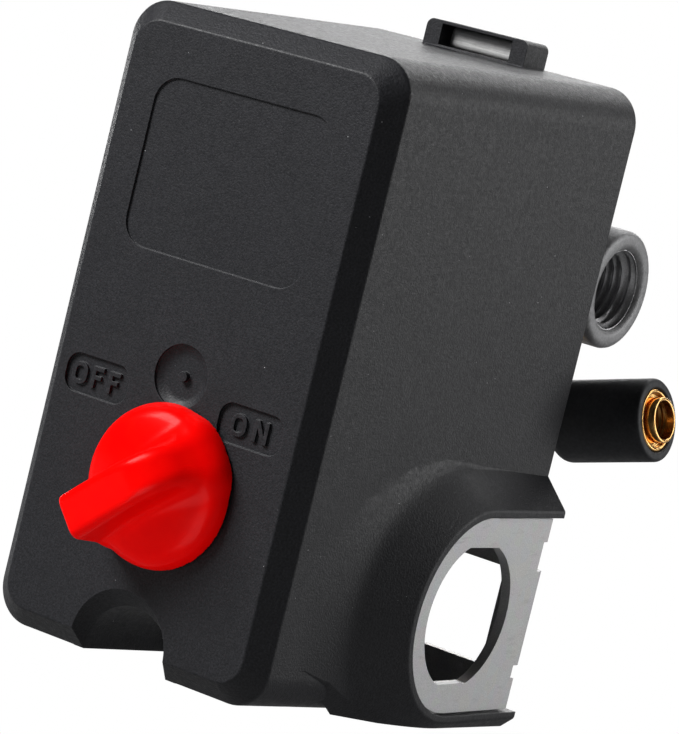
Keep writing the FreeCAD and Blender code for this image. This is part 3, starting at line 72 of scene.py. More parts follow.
def surface_net(distance, low, high, step):
    """Vertices and quads of the zero surface of a distance function, moved onto that surface."""
    axes = [np.arange(low[i], high[i] + step, step) for i in range(3)]
    grid = np.stack(np.meshgrid(*axes, indexing="ij"), -1)
    shape = grid.shape[:3]
    value = distance(grid.reshape(-1, 3)).reshape(shape)
    inside = value < 0
    corners = [(i, j, k) for i in (0, 1) for j in (0, 1) for k in (0, 1)]
    cell = tuple(n - 1 for n in shape)

    def corner(array, c):
        return array[c[0]:c[0] + cell[0], c[1]:c[1] + cell[1], c[2]:c[2] + cell[2]]

    filled = sum(corner(inside, c).astype(int) for c in corners)
    active = (filled > 0) & (filled < 8)
    number = -np.ones(cell, int)
    number[active] = np.arange(active.sum())
    total = np.zeros(cell + (3,))
    count = np.zeros(cell)
    for first in corners:
        for axis in range(3):
            if first[axis]:
                continue
            second = tuple(1 if i == axis else first[i] for i in range(3))
            a, b = corner(value, first), corner(value, second)
            crossing = (a < 0) != (b < 0)
            share = np.where(crossing, a / np.where(crossing, a - b, 1), 0)
            point = corner(grid, first) * (1 - share[..., None]) + corner(grid, second) * share[..., None]
            total += np.where(crossing[..., None], point, 0)
            count += crossing
    verts = total[active] / count[active][:, None]
    quads = []
    for axis in range(3):
        others = [i for i in range(3) if i != axis]
        span = [slice(1, n - 1) for n in shape]
        span[axis] = slice(0, shape[axis] - 1)
        ahead = list(span)
        ahead[axis] = slice(1, shape[axis])
        here, there = inside[tuple(span)], inside[tuple(ahead)]
        start = np.argwhere(here != there) + np.array([0 if i == axis else 1 for i in range(3)])
        outward = here[here != there]
        ring = []
        for du, dv in ((-1, -1), (0, -1), (0, 0), (-1, 0)):
            place = start.copy()
            place[:, others[0]] += du
            place[:, others[1]] += dv
            ring.append(number[place[:, 0], place[:, 1], place[:, 2]])
        ring = np.stack(ring, 1)
        flip = outward if axis != 1 else ~outward
        ring[~flip] = ring[~flip][:, ::-1]
        quads.append(ring)
    quads = np.concatenate(quads)
    nudge = step * 0.1
    for _ in range(4):
        slopes = [distance(verts + nudge * e) - distance(verts - nudge * e) for e in np.eye(3)]
        gradient = np.stack(slopes, -1) / (2 * nudge)
        size = np.maximum((gradient ** 2).sum(-1), 0.05)
        move = (distance(verts) / size)[:, None] * gradient
        length = np.linalg.norm(move, axis=-1, keepdims=True)
        verts = verts - move * np.minimum(1, step * 0.5 / np.maximum(length, 1e-9))
    return verts, quads


def smooth_union(a, b, k):
    """The union of two shapes with a fillet of about k."""
    h = np.clip(0.5 + 0.5 * (b - a) / k, 0, 1)
    return b * (1 - h) + a * h - k * h * (1 - h)


def smooth_both(a, b, k):
    """What two shapes share, with the new edge rounded by about k."""
    return -smooth_union(-a, -b, k)


def smooth_cut(a, b, k):
    """Shape a without shape b, with its new edge rounded by about k."""
    return smooth_both(a, -b, k)


def slab(p, low, high, radius):
    """An axis-aligned block with rounded edges."""
    centre, half = (np.array(low) + np.array(high)) / 2, (np.array(high) - np.array(low)) / 2
    q = np.abs(p - centre) - half + radius
    return np.linalg.norm(np.maximum(q, 0), axis=-1) + np.minimum(q.max(-1), 0) - radius


def bar_along(p, start, end, radius, edge):
    """A cylinder between two points, with rounded ends."""
    start, end = np.array(start, float), np.array(end, float)
    length = np.linalg.norm(end - start)
    axis = (end - start) / length
    along = (p - start) @ axis
    across = np.linalg.norm((p - start) - along[:, None] * axis, axis=-1)
    q = np.stack([across - radius + edge, np.abs(along - length / 2) - length / 2 + edge], -1)
    return np.linalg.norm(np.maximum(q, 0), axis=-1) + np.minimum(q.max(-1), 0) - edge


def funnel(p, mouth, axis, radius_mouth, radius_deep, depth):
    """A cone that narrows from its mouth inwards."""
    axis = np.array(axis, float)
    along = -(p - np.array(mouth)) @ axis
    across = np.linalg.norm((p - np.array(mouth)) + along[:, None] * axis, axis=-1)
    slope = (radius_mouth - radius_deep) / depth
    side = (across - radius_mouth + slope * along) / math.hypot(1, slope)
    return np.maximum(side, np.maximum(along - depth, -along - 1))


# ---- Meshes -------------------------------------------------------------------------


def mesh_object(name, verts, faces, body, smooth_angle=35.0):
    """A mesh object from points in metres, which rides on a body."""
    mesh = bpy.data.meshes.new(name)
    mesh.from_pydata([tuple(v) for v in verts], [], [tuple(int(i) for i in f) for f in faces])
    mesh.validate()
    mesh.update()
    piece = bpy.data.objects.new(name, mesh)
    bpy.context.scene.collection.objects.link(piece)
    soften(piece, smooth_angle)
    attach(piece, body)
    return piece


def soften(piece, angle=35.0):
    """Smooth shading that leaves edges sharper than the angle hard."""
    mesh = piece.data
    mesh.polygons.foreach_set("use_smooth", [True] * len(mesh.polygons))
    mesh.set_sharp_from_angle(angle=math.radians(angle))
    mesh.update()


def rounded_path(points, radii):
    """A polyline whose inner corners are replaced by short arcs."""
    path = [np.array(points[0], float)]
    for i in range(1, len(points) - 1):
        before, here, after = (np.array(points[j], float) for j in (i - 1, i, i + 1))
        radius = radii[i]
        if radius <= 0:
            path.append(here)
            continue
        u, v = before - here, after - here
        reach = min(radius, np.linalg.norm(u) * 0.49, np.linalg.norm(v) * 0.49)
        a, b = here + u / np.linalg.norm(u) * reach, here + v / np.linalg.norm(v) * reach
        for t in np.linspace(0, 1, 6):
            path.append((1 - t) ** 2 * a + 2 * t * (1 - t) * here + t * t * b)
    path.append(np.array(points[-1], float))
    return path


def lathe(name, profile, radii, origin, axis, body, segments=96):
    """A turned piece: a closed profile of (distance along the axis, radius), in millimetres."""
    profile = rounded_path(profile + [profile[0]], list(radii) + [0])[:-1]
    axis = Vector(axis).normalized()
    side = axis.orthogonal().normalized()
    up = axis.cross(side)
    rings, faces = [], []
    for s, r in profile:
        ring = []
        for i in range(segments):
            angle = 2 * math.pi * i / segments
            spoke = side * math.cos(angle) + up * math.sin(angle)
            ring.append(Vector(origin) + (axis * s + spoke * r) * MM)
        rings += ring
    count = len(profile)
    for j in range(count):
        for i in range(segments):
            k, m = (j + 1) % count, (i + 1) % segments
            faces.append((j * segments + i, j * segments + m, k * segments + m, k * segments + i))
    return outward(mesh_object(name, rings, faces, body))


def outward(piece):
    """Face normals made to point out of a closed piece."""
    work = bmesh.new()
    work.from_mesh(piece.data)
    bmesh.ops.recalc_face_normals(work, faces=work.faces)
    work.to_mesh(piece.data)
    work.free()
    soften(piece)
    return piece


LINER_WALL = 0.35
THREAD_LEAD_TURNS = 1.2
THREAD_ROOT_FLAT = 0.06
THREAD_FLANK = 0.86


def thread_ring(name, mouth, axis, radius, depth, pitch, height, body, taper=0.0, segments=120, steps=9):
    """A threaded liner: a real helix of ridges inside a bore, with its plain wall hidden behind it."""
    axis = Vector(axis).normalized()
    side = axis.orthogonal().normalized()
    up = axis.cross(side)
    spokes = []
    for i in range(segments):
        angle = 2 * math.pi * i / segments
        spokes.append(side * math.cos(angle) + up * math.sin(angle))
    levels = np.linspace(0, depth, int(depth / pitch * steps))
    verts, faces = [], []
    for level in levels:
        lead = min(1, level / (THREAD_LEAD_TURNS * pitch))
        for i, spoke in enumerate(spokes):
            phase = (level / pitch + i / segments) % 1.0
            ridge = 1 - abs(2 * phase - 1)
            ridge = min(max((ridge - THREAD_ROOT_FLAT) / THREAD_FLANK, 0), 1)
            r = radius - taper * level - height * ridge * lead
            verts.append(Vector(mouth) + (-axis * level + spoke * r) * MM)
    wall = len(verts)
    for level in (depth, 0):
        for spoke in spokes:
            verts.append(Vector(mouth) + (-axis * level + spoke * (radius + LINER_WALL)) * MM)
    rows = [k * segments for k in range(len(levels))] + [wall, wall + segments]
    for j, row in enumerate(rows):
        following = rows[(j + 1) % len(rows)]
        for i in range(segments):
            m = (i + 1) % segments
            faces.append((row + i, row + m, following + m, following + i))
    return outward(mesh_object(name, verts, faces, body, 60))


# ---- Materials ------------------------------------------------------------------------


class Shader:
    """A principled material with short ways to add procedural detail."""

    def __init__(self, name):
        self.material = bpy.data.materials.new(name)
        self.material.use_nodes = True
        self.tree = self.material.node_tree
        self.base = self.tree.nodes["Principled BSDF"]
        self.place = self.tree.nodes.new("ShaderNodeTexCoord").outputs["Object"]

    def node(self, kind, **inputs):
        made = self.tree.nodes.new(kind)
        for name, value in inputs.items():
            self.feed(made.inputs[name.replace("_", " ")], value)
        return made

    def feed(self, socket, value):
        if isinstance(value, bpy.types.NodeSocket):
            self.tree.links.new(value, socket)
        elif socket.type == "RGBA" and len(value) == 3:
            socket.default_value = (*value, 1)
        else:
            socket.default_value = value

    def stretched(self, scale):
        mapping = self.node("ShaderNodeMapping", Vector=self.place)
        mapping.inputs["Scale"].default_value = scale
        return mapping.outputs[0]

    def noise(self, size_mm, detail=3.0, rough=0.6, place=None):
        made = self.node("ShaderNodeTexNoise", Scale=1 / (size_mm * MM), Detail=detail, Roughness=rough)
        self.feed(made.inputs["Vector"], place or self.place)
        return made.outputs["Fac"]

    def cells(self, size_mm, feature="F1", output="Distance", place=None):
        made = self.tree.nodes.new("ShaderNodeTexVoronoi")
        made.feature = feature
        self.feed(made.inputs["Scale"], 1 / (size_mm * MM))
        self.feed(made.inputs["Vector"], place or self.place)
        return made.outputs[output]

    def levels(self, value, low, high, out_low=0.0, out_high=1.0):
        made = self.tree.nodes.new("ShaderNodeMapRange")
        for socket, number in zip(list(made.inputs)[:5], (value, low, high, out_low, out_high)):
            self.feed(socket, number)
        return made.outputs[0]

    def maths(self, operation, a, b):
        made = self.tree.nodes.new("ShaderNodeMath")
        made.operation = operation
        self.feed(made.inputs[0], a)
        self.feed(made.inputs[1], b)
        return made.outputs[0]

    def blend(self, share, a, b):
        made = self.tree.nodes.new("ShaderNodeMix")
        made.data_type = "RGBA"
        self.feed(made.inputs["Factor"], share)
        self.feed(made.inputs[6], a)
        self.feed(made.inputs[7], b)
        return made.outputs[2]

    def bump(self, height, distance_mm, strength=1.0, normal=None):
        made = self.node("ShaderNodeBump", Strength=strength, Distance=distance_mm * MM, Height=height)
        if normal is not None:
            self.feed(made.inputs["Normal"], normal)
        return made.outputs[0]

    def edge(self, radius_mm):
        made = self.tree.nodes.new("ShaderNodeBevel")
        made.samples = 6
        made.inputs["Radius"].default_value = radius_mm * MM
        return made.outputs[0]

    def wear(self, radius_mm):
        """Near 1 on edges and corners, 0 on flat ground."""
        worn = self.edge(radius_mm)
        flat = self.tree.nodes.new("ShaderNodeNewGeometry").outputs["Normal"]
        dot = self.tree.nodes.new("ShaderNodeVectorMath")
        dot.operation = "DOT_PRODUCT"
        self.feed(dot.inputs[0], worn)
        self.feed(dot.inputs[1], flat)
        return self.levels(dot.outputs["Value"], 0.995, 0.9)

    def finish(self, **sockets):
        for name, value in sockets.items():
            self.feed(self.base.inputs[name.replace("_", " ")], value)
        return self.material


def moulded(name, colour, lighter, rough, grain_mm, grain_depth, specks=0.0, gloss_coat=0.0,
            spread=0.12, shine=0.5):
    """Moulded plastic or rubber: fine grain, faint clouds of tone, dust specks and softly worn edges."""
    s = Shader(name)
    cloud = s.noise(7.0, 4)
    grain = s.noise(grain_mm, 2)
    tone = s.blend(s.levels(grain, 0.35, 0.7), colour, lighter)
    tone = s.blend(s.levels(cloud, 0.35, 0.75, 0, 0.35), tone, [c * 0.8 for c in colour])
    worn = s.maths("MULTIPLY", s.wear(0.35), s.levels(s.noise(1.2), 0.4, 0.7, 0.05, 0.35))
    tone = s.blend(worn, tone, [min(1, c * 1.8 + 0.02) for c in lighter])
    if specks:
        dots = s.levels(s.cells(2.0), 0.045, 0.03)
        rare = s.levels(s.noise(3.5, 0), 0.56, 0.60)
        dust = s.maths("MULTIPLY", s.maths("MULTIPLY", dots, rare), specks)
        tone = s.blend(dust, tone, (0.6, 0.6, 0.62))
    bump = s.bump(grain, grain_depth, 1.0, s.edge(0.18))
    sheen = s.levels(s.noise(grain_mm * 2.3, 2), 0.2, 0.8, rough - spread, rough + spread)
    return s.finish(Base_Color=tone, Roughness=sheen, Normal=bump, Coat_Weight=gloss_coat,
                    Coat_Roughness=0.12, IOR=1.48, Specular_IOR_Level=shine)


def metal(name, colour, darker, rough, grain=(1, 1, 1), grain_mm=0.4, depth=0.01, stains=0.3,
          scratches=0.3, metallic=1.0):
    """Bare or plated metal: drawn grain, stains, fine scratches and brighter edges."""
    s = Shader(name)
    drawn = s.stretched(grain)
    lines = s.noise(grain_mm, 4, 0.7, drawn)
    stain = s.levels(s.noise(3.0, 5, 0.65), 0.45, 0.75, 0, stains)
    cracks = s.cells(5.0, "DISTANCE_TO_EDGE", "Distance", s.stretched((1.0, 0.35, 1.4)))
    scratch = s.levels(cracks, 0.006, 0.0, 0, scratches)
    tone = s.blend(s.levels(lines, 0.3, 0.75), darker, colour)
    tone = s.blend(stain, tone, [c * 0.55 for c in darker])
    tone = s.blend(s.maths("MULTIPLY", s.wear(0.25), 0.5), tone, [min(1, c * 1.25) for c in colour])
    height = s.maths("SUBTRACT", lines, s.maths("MULTIPLY", scratch, 1.5))
    return s.finish(Base_Color=tone, Metallic=metallic, Normal=s.bump(height, depth, 1.0, s.edge(0.12)),
                    Roughness=s.levels(lines, 0.2, 0.8, max(0.05, rough - 0.1), rough + 0.12))


def galvanised(name):
    """Zinc-coated sheet: pale grey with faint spangle, dark pits and handling marks."""
    s = Shader(name)
    spangle = s.cells(1.8, "F1", "Color")
    fine = s.noise(0.22, 3, 0.7)
    tone = s.blend(s.levels(fine, 0.3, 0.7), (0.46, 0.46, 0.465), (0.70, 0.70, 0.70))
    tone = s.blend(0.03, tone, spangle)
    pits = s.levels(s.noise(0.5, 4, 0.8), 0.70, 0.76)
    tone = s.blend(s.maths("MULTIPLY", pits, 0.5), tone, (0.07, 0.07, 0.068))
    smear = s.levels(s.noise(2.2, 3, 0.6, s.stretched((1, 0.4, 2.2))), 0.6, 0.8, 0, 0.3)
    tone = s.blend(smear, tone, (0.14, 0.14, 0.145))
    return s.finish(Base_Color=tone, Metallic=0.5, Roughness=s.levels(fine, 0.2, 0.8, 0.42, 0.62),
                    Normal=s.bump(fine, 0.012, 1.0, s.edge(0.12)))


MATERIALS = {
    "cover_plastic": moulded("cover_plastic", (0.012, 0.0125, 0.0145), (0.030, 0.030, 0.035), 0.48,
                             grain_mm=0.30, grain_depth=0.06, specks=0.7, shine=0.32),
    "knob_plastic": moulded("knob_plastic", (0.97, 0.001, 0.001), (1.0, 0.002, 0.001), 0.22,
                            grain_mm=2.0, grain_depth=0.004, spread=0.04, shine=0.06),
    "inner_plastic": moulded("inner_plastic", (0.045, 0.045, 0.045), (0.07, 0.07, 0.07), 0.45,
                             grain_mm=0.3, grain_depth=0.01),
    "phenolic": moulded("phenolic", (0.035, 0.018, 0.012), (0.07, 0.035, 0.022), 0.35,
                        grain_mm=0.5, grain_depth=0.012, gloss_coat=0.2),
    "galvanised": galvanised("galvanised"),
    "spring_steel": metal("spring_steel", (0.95, 0.95, 0.94), (0.55, 0.55, 0.55), 0.5, (0.12, 2, 2),
                          grain_mm=0.5, depth=0.02, metallic=0.35),
    "zinc_steel": metal("zinc_steel", (0.70, 0.71, 0.73), (0.50, 0.51, 0.53), 0.32, (1, 1, 4)),
    "die_cast": metal("die_cast", (0.36, 0.36, 0.365), (0.20, 0.20, 0.205), 0.5,
                      grain_mm=0.6, depth=0.05, stains=0.35, scratches=0.2, metallic=0.5),
    "diaphragm_rubber": moulded("diaphragm_rubber", (0.02, 0.02, 0.02), (0.035, 0.035, 0.035), 0.6,
                                grain_mm=0.4, grain_depth=0.02),
    "sleeve_rubber": moulded("sleeve_rubber", (0.026, 0.027, 0.030), (0.038, 0.039, 0.043), 0.55,
                             grain_mm=0.5, grain_depth=0.008, shine=0.25),
    "brass": metal("brass", (0.95, 0.62, 0.24), (0.78, 0.40, 0.12), 0.16,
                   grain_mm=0.5, depth=0.004, stains=0.35, scratches=0.2),
    "copper": metal("copper", (0.90, 0.42, 0.26), (0.65, 0.26, 0.15), 0.22, (1, 1, 3)),
    "green_paint": metal("green_paint", (0.03, 0.30, 0.10), (0.02, 0.20, 0.07), 0.3,
                         grain_mm=0.6, stains=0.2, scratches=0.2, metallic=0.2),
}
MACHINED = metal("machined", (0.62, 0.62, 0.63), (0.34, 0.34, 0.35), 0.4,
                 grain_mm=0.25, depth=0.006, stains=0.4)
DULL_BRASS = metal("dull_brass", (0.50, 0.26, 0.08), (0.30, 0.14, 0.04), 0.3,
                   grain_mm=0.5, depth=0.004, stains=0.35, scratches=0.2)

slots = {part["node"]: part["material_slot"] for part in record["subparts"]}
for node, node_slot in slots.items():
    nodes[node].data.materials.clear()
    nodes[node].data.materials.append(MATERIALS[node_slot])


def dress(piece, slot, *replaced, material=None):
    """The finish of a new piece, and the CAD nodes that it stands for."""
    piece.data.materials.append(material or MATERIALS[slot])
    if replaced:
        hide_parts(*replaced)
    return piece


# ---- Cover ----------------------------------------------------------------------------

COVER_SHARP_ANGLE = 26
FULL_WEIGHT = 100

cover_mesh = nodes["cover"].data.copy()
cover = bpy.data.objects.new("cover_shell", cover_mesh)
bpy.context.scene.collection.objects.link(cover)
work = bmesh.new()
work.from_mesh(cover_mesh)
bmesh.ops.remove_doubles(work, verts=work.verts, dist=1e-6)
bmesh.ops.dissolve_limit(work, angle_limit=math.radians(0.5), verts=work.verts, edges=work.edges)
work.to_mesh(cover_mesh)
work.free()
if cover_mesh.attributes.get("custom_normal"):
    cover_mesh.attributes.remove(cover_mesh.attributes["custom_normal"])
soften(cover, COVER_SHARP_ANGLE)
weigh = cover.modifiers.new("weigh", "WEIGHTED_NORMAL")
weigh.keep_sharp = True
weigh.weight = FULL_WEIGHT
with bpy.context.temp_override(object=cover, active_object=cover):
    bpy.ops.object.modifier_apply(modifier=weigh.name)
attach(cover, "housing")
cover_mesh.materials.clear()
dress(cover, "cover_plastic", "cover")

# ---- Knob -----------------------------------------------------------------------------

KNOB_GAP = 0.25
KNOB_ANGLE = math.radians(41.0)
KNOB_STEP = 0.25
DISC_RADIUS = 11.9
DISC_DRAFT = 0.06
DOME_RADIUS = 28.9
DOME_DEPTH = 24.0
DISC_ROUND = 2.2
BAR_HEIGHT = 10.25
BAR_CREST_AT = 1.0
BAR_CREST_SAG = 0.0035
BAR_FALL_REACH = 9.6
BAR_HALF_WIDTH = 3.75
BAR_DRAFT = 0.075
BAR_TIP = 11.3
BAR_TIP_DRAFT = 0.05
BAR_ROUND = 1.5
TIP_ROUND = 0.6
BAR_FILLET = 1.6
turn = [j for j in frame["joints"] if j["name"] == "knob_turn"][0]
face_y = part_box("cover")[0].y / MM
knob_centre = np.array(turn["pos_m"]) / MM
knob_centre[1] = face_y - KNOB_GAP
along_bar = np.array([math.cos(KNOB_ANGLE), 0, math.sin(KNOB_ANGLE)])
across_bar = np.array([-math.sin(KNOB_ANGLE), 0, math.cos(KNOB_ANGLE)])


def knob_distance(p):
    """A domed disc and a grip bar that falls away to one side, blended like one moulding."""
    q = p - knob_centre
    u, v, w = q @ along_bar, q @ across_bar, -q[:, 1]
    r = np.hypot(u, v)
    side = r - DISC_RADIUS + DISC_DRAFT * w
    dome = np.sqrt(r ** 2 + (w + DOME_DEPTH) ** 2) - DOME_RADIUS
    disc = smooth_both(side, dome, DISC_ROUND)
    past_crest = u - BAR_CREST_AT
    level = w - BAR_HEIGHT + BAR_CREST_SAG * past_crest ** 2
    fall = (np.hypot(past_crest / BAR_FALL_REACH, w / BAR_HEIGHT) - 1) * 9.0
    crest = np.where(past_crest > 0, fall, level)
    wall = np.abs(v) - BAR_HALF_WIDTH + BAR_DRAFT * (w - 4)
    end = -u - BAR_TIP + BAR_TIP_DRAFT * w
    wider = np.maximum(u, 0)
    bar = smooth_both(smooth_both(crest, wall, BAR_ROUND + 0.16 * wider), end, TIP_ROUND)
    shape = smooth_union(disc, bar, BAR_FILLET + 0.15 * wider)
    return np.maximum(shape, -w)


verts, quads = surface_net(knob_distance, knob_centre - [13, 12, 13], knob_centre + [13, 1, 13], KNOB_STEP)
knob = outward(mesh_object("knob_body", verts * MM, quads, "knob", 50))
dress(knob, "knob_plastic", "knob")

# ---- Latch ------------------------------------------------------------------------------

TONGUE_HALF = 6.1
ROLL_HEIGHT = 2.9
ROLL_DEPTH = 3.2
ROLL_LIFT = 0.26
ROLL_ROUND = 0.75
ROLL_STEP = 0.2
latch_low, latch_high = (np.array(corner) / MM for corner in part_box("cover_latch"))
roll_low = np.array([-TONGUE_HALF, latch_low[1], latch_high[2] - ROLL_HEIGHT])
roll_high = np.array([TONGUE_HALF, latch_low[1] + ROLL_DEPTH, latch_high[2] + ROLL_LIFT])


def roll_distance(p):
    """The rolled lip of the latch tongue, which shows through the cover's loop."""
    return slab(p, roll_low, roll_high, ROLL_ROUND)


verts, quads = surface_net(roll_distance, roll_low - 2 * ROLL_STEP, roll_high + 2 * ROLL_STEP, ROLL_STEP)
roll = outward(mesh_object("tongue_roll", verts * MM, quads, "housing", 50))
dress(roll, "spring_steel")

# ---- Manifold ---------------------------------------------------------------------------

CASTING_STEP = 0.42
CASTING_ROUND = 1.0
BODY_HALF = 24
BODY_RADIUS = 9.3
BODY_FILLET = 2.2
FLANGE_HALF = 20.5
FLANGE_THICKNESS = 4.5
FLANGE_CORNER = 4
FLANGE_ROUND = 1.2
FLANGE_FILLET = 1.6
BORE_RADIUS = 6.25
BORE_DEPTH = 12.0
BEVEL_MOUTH_RADIUS = 6.95
BEVEL_DEEP_RADIUS = 6.2
BEVEL_DEPTH = 0.75
SCREW_AT = 15.0
SCREW_HOLE_RADIUS = 2.3
CHAMBER_RADIUS = 12.0
CHAMBER_DEPTH = 1.5
CRISP = 0.1
ports = [mounts[n] for n in ("inlet_port", "right_port", "left_port", "top_port")]
hub = np.array([0, mounts["right_port"]["pos_m"][1], 0]) / MM
flange_low, flange_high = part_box("manifold")
flange_front = flange_low.y / MM


def manifold_distance(p):
    """A cross of round arms on a square flange, with four bores, four screw holes and a chamber."""
    body = bar_along(p, hub + [-BODY_HALF, 0, 0], hub + [BODY_HALF, 0, 0], BODY_RADIUS, CASTING_ROUND)
    for port in ports:
        mouth, axis = np.array(port["pos_m"]) / MM, np.array(port["axis"])
        if abs(axis[0]) < 0.5:
            body = smooth_union(body, bar_along(p, hub, mouth, BODY_RADIUS, CASTING_ROUND), BODY_FILLET)
    plate = slab(p, (-FLANGE_HALF, flange_front, -FLANGE_HALF),
                 (FLANGE_HALF, flange_front + FLANGE_THICKNESS, FLANGE_HALF), FLANGE_ROUND)
    past_corner = np.maximum(np.abs(p) - (FLANGE_HALF - FLANGE_CORNER), 0)
    corner = np.hypot(past_corner[:, 0], past_corner[:, 2]) - FLANGE_CORNER
    body = smooth_union(body, np.maximum(plate, corner), FLANGE_FILLET)
    for port in ports:
        mouth, axis = np.array(port["pos_m"]) / MM, np.array(port["axis"])
        bore = bar_along(p, mouth + axis, mouth - axis * BORE_DEPTH, BORE_RADIUS, CRISP)
        bevel = funnel(p, mouth, axis, BEVEL_MOUTH_RADIUS, BEVEL_DEEP_RADIUS, BEVEL_DEPTH)
        body = smooth_cut(body, np.minimum(bore, bevel), 0.15)
    for x in (-SCREW_AT, SCREW_AT):
        for z in (-SCREW_AT, SCREW_AT):
            hole = bar_along(p, (x, flange_front - 1, z), (x, flange_front + 6, z), SCREW_HOLE_RADIUS, CRISP)
            body = smooth_cut(body, hole, 0.2)
    chamber = bar_along(p, (0, flange_front - 2, 0), (0, flange_front + CHAMBER_DEPTH, 0),
                        CHAMBER_RADIUS, CRISP)
    return np.maximum(body, -chamber)


MARGIN = 1.0
PORT_THREAD_SETBACK = 0.7
PORT_THREAD = {"radius": 6.22, "depth": 10.5, "pitch": 1.41, "height": 0.9, "taper": 0.03}
low = np.array(flange_low) / MM - MARGIN
high = np.array(flange_high) / MM + MARGIN
verts, quads = surface_net(manifold_distance, low, high, CASTING_STEP)
casting = outward(mesh_object("manifold_casting", verts * MM, quads, "housing", 50))
dress(casting, "die_cast", "manifold")
for port in ports:
    mouth = Vector(port["pos_m"]) - Vector(port["axis"]) * PORT_THREAD_SETBACK * MM
    liner = thread_ring("thread_" + port["name"], mouth, port["axis"], body="housing", **PORT_THREAD)
    dress(liner, "die_cast", material=MACHINED)

# ---- Unloader outlet: sleeve, ferrule and tube -------------------------------------------

ARM_SEGMENTS = 128
TUBE_START = 20.0
TUBE_END = 38.6
TUBE_RADIUS = 3.5
TUBE_BORE = 2.98
SLEEVE_END = 37.3
SLEEVE_RADIUS = 6.4
FERRULE_RADIUS = 4.8
FERRULE_START = 29.0
FERRULE_END = 37.2
FERRULE_CUP = 36.3
OUTLET_THREAD_SETBACK = 1.2
outlet = mounts["unloader_outlet"]
tilt = Vector(outlet["axis"])
arm = Vector(outlet["pos_m"]) - tilt * TUBE_END * MM
sleeve = lathe("hose_sleeve",
               [(TUBE_START, 4.25), (TUBE_START, 4.5), (22.0, SLEEVE_RADIUS),
                (SLEEVE_END, SLEEVE_RADIUS), (SLEEVE_END, 4.95), (36.6, 4.85)],
               [0, 0.2, 0.9, 1.1, 0.3, 0], arm, tilt, "housing", ARM_SEGMENTS)
dress(sleeve, "sleeve_rubber", "unloader_sleeve")
ferrule = lathe("ferrule_ring",
                [(FERRULE_START, 3.55), (FERRULE_START, FERRULE_RADIUS), (37.0, FERRULE_RADIUS),
                 (FERRULE_END, 4.6), (FERRULE_END, 4.25), (FERRULE_CUP, 4.1), (FERRULE_CUP, 3.55)],
                [0, 0, 0.15, 0.1, 0.25, 0.2, 0.1], arm, tilt, "housing", ARM_SEGMENTS)
dress(ferrule, "brass", "unloader_ferrule")
tube = lathe("outlet_tube",
             [(TUBE_START, TUBE_BORE), (TUBE_START, TUBE_RADIUS),
              (TUBE_END, TUBE_RADIUS), (TUBE_END, TUBE_BORE)],
             [0, 0, 0.2, 0.15], arm, tilt, "housing", ARM_SEGMENTS)
dress(tube, "brass", "unloader_tube")
thread_mouth = Vector(outlet["pos_m"]) - tilt * OUTLET_THREAD_SETBACK * MM
tube_thread = thread_ring("outlet_thread", thread_mouth, tilt, radius=2.97, depth=12.0, pitch=0.8, height=0.4,
                          body="housing", segments=96, steps=7)
dress(tube_thread, "brass", material=DULL_BRASS)

# ---- Floor, light and camera ------------------------------------------------------------

FLOOR_SIZE = 30
FLOOR_DROP = 30 * MM
WHITE = (1, 1, 1)
DIM_WORLD = 0.035
bpy.ops.mesh.primitive_grid_add(x_subdivisions=2, y_subdivisions=2, size=FLOOR_SIZE,
                                location=(0, 0, cad_low[2] - FLOOR_DROP))
floor = bpy.context.object
floor.name = "floor"
paper = Shader("floor_paper")
cloudy_grey = paper.blend(paper.noise(300.0), (0.24, 0.24, 0.24), (0.28, 0.28, 0.28))
paper.finish(Base_Color=cloudy_grey, Roughness=0.9)
glow = paper.node("ShaderNodeEmission", Color=WHITE, Strength=1.0)
light_path = paper.tree.nodes.new("ShaderNodeLightPath")
mix = paper.tree.nodes.new("ShaderNodeMixShader")
paper.tree.links.new(light_path.outputs["Is Camera Ray"], mix.inputs["Fac"])
paper.tree.links.new(paper.base.outputs[0], mix.inputs[1])
paper.tree.links.new(glow.outputs[0], mix.inputs[2])
paper.tree.links.new(mix.outputs[0], paper.tree.nodes["Material Output"].inputs["Surface"])
floor.data.materials.append(paper.material)

world = bpy.data.worlds.new("studio")
bpy.context.scene.world = world
world.use_nodes = True
tree = world.node_tree
dim = tree.nodes["Background"]
dim.inputs["Color"].default_value = (*WHITE, 1)
dim.inputs["Strength"].default_value = DIM_WORLD
bright = tree.nodes.new("ShaderNodeBackground")
bright.inputs["Color"].default_value = (*WHITE, 1)
bright.inputs["Strength"].default_value = 1.0
path = tree.nodes.new("ShaderNodeLightPath")
choose = tree.nodes.new("ShaderNodeMixShader")
tree.links.new(path.outputs["Is Camera Ray"], choose.inputs[0])
tree.links.new(dim.outputs[0], choose.inputs[1])
tree.links.new(bright.outputs[0], choose.inputs[2])
tree.links.new(choose.outputs[0], tree.nodes["World Output"].inputs["Surface"])

centre = (Vector(cad_low) + Vector(cad_high)) / 2


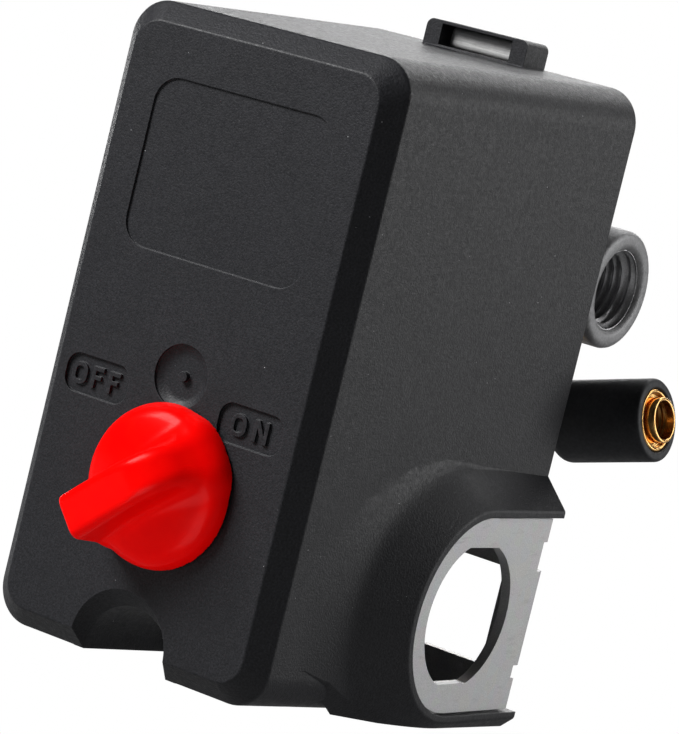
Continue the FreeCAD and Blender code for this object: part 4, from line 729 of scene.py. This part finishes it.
def softbox(name, direction, distance, size, power, only=None):
    """A rectangular lamp that looks at the object's middle, or that lights one piece alone."""
    data = bpy.data.lights.new(name, "AREA")
    data.shape = "RECTANGLE"
    data.size, data.size_y = size
    data.energy = power
    lamp = bpy.data.objects.new(name, data)
    lamp.location = centre + Vector(direction).normalized() * distance
    lamp.visible_camera = False
    lamp.rotation_euler = (centre - lamp.location).to_track_quat("-Z", "Y").to_euler()
    bpy.context.scene.collection.objects.link(lamp)
    if only:
        lit = bpy.data.collections.new(name + "_receiver")
        lit.objects.link(only)
        lamp.light_linking.receiver_collection = lit
        lamp.light_linking.blocker_collection = lit


softbox("key_right", (0.76, 0.70, 0.24), 0.8, (0.5, 0.5), 2.7)
softbox("fill_left", (-0.66, -0.78, 0.80), 0.9, (0.4, 0.4), 11.0)
softbox("knob_low", (0.30, -0.80, -0.50), 0.8, (0.5, 0.5), 2.3, knob)
softbox("top", (-0.15, 0.85, 0.75), 0.7, (0.5, 0.35), 1.9)
softbox("backdrop", (-0.54, 0.84, 0.13), 0.9, (0.9, 0.35), 4.8)
softbox("ear_side", (0.95, 0.25, -0.20), 0.8, (0.3, 0.3), 0.5)

AZIMUTH, ELEVATION, ROLL = (math.radians(a) for a in (32.78, 5.61, 13.70))
AIM = Vector((0, -62, -14.2)) * MM
CAMERA_DISTANCE = 0.54656
LENS = 181.7
LENS_SHIFT = (0.0328, -0.0539)
CLIP_START = 0.01
level_back = Vector((math.sin(AZIMUTH), -math.cos(AZIMUTH), 0))
backward = level_back * math.cos(ELEVATION) + Vector((0, 0, math.sin(ELEVATION)))
right = Vector((math.cos(AZIMUTH), math.sin(AZIMUTH), 0))
up = backward.cross(right)
camera_x = right * math.cos(ROLL) + up * math.sin(ROLL)
camera_y = up * math.cos(ROLL) - right * math.sin(ROLL)
camera_data = bpy.data.cameras.new("camera")
camera_data.lens = LENS
camera_data.shift_x, camera_data.shift_y = LENS_SHIFT
camera_data.clip_start = CLIP_START
camera = bpy.data.objects.new("camera", camera_data)
turned = Matrix((camera_x, camera_y, backward)).transposed().to_4x4()
camera.matrix_world = Matrix.Translation(AIM + backward * CAMERA_DISTANCE) @ turned
bpy.context.scene.collection.objects.link(camera)
bpy.context.scene.camera = camera
bpy.context.scene.view_settings.view_transform = "Standard"

bpy.context.view_layer.update()
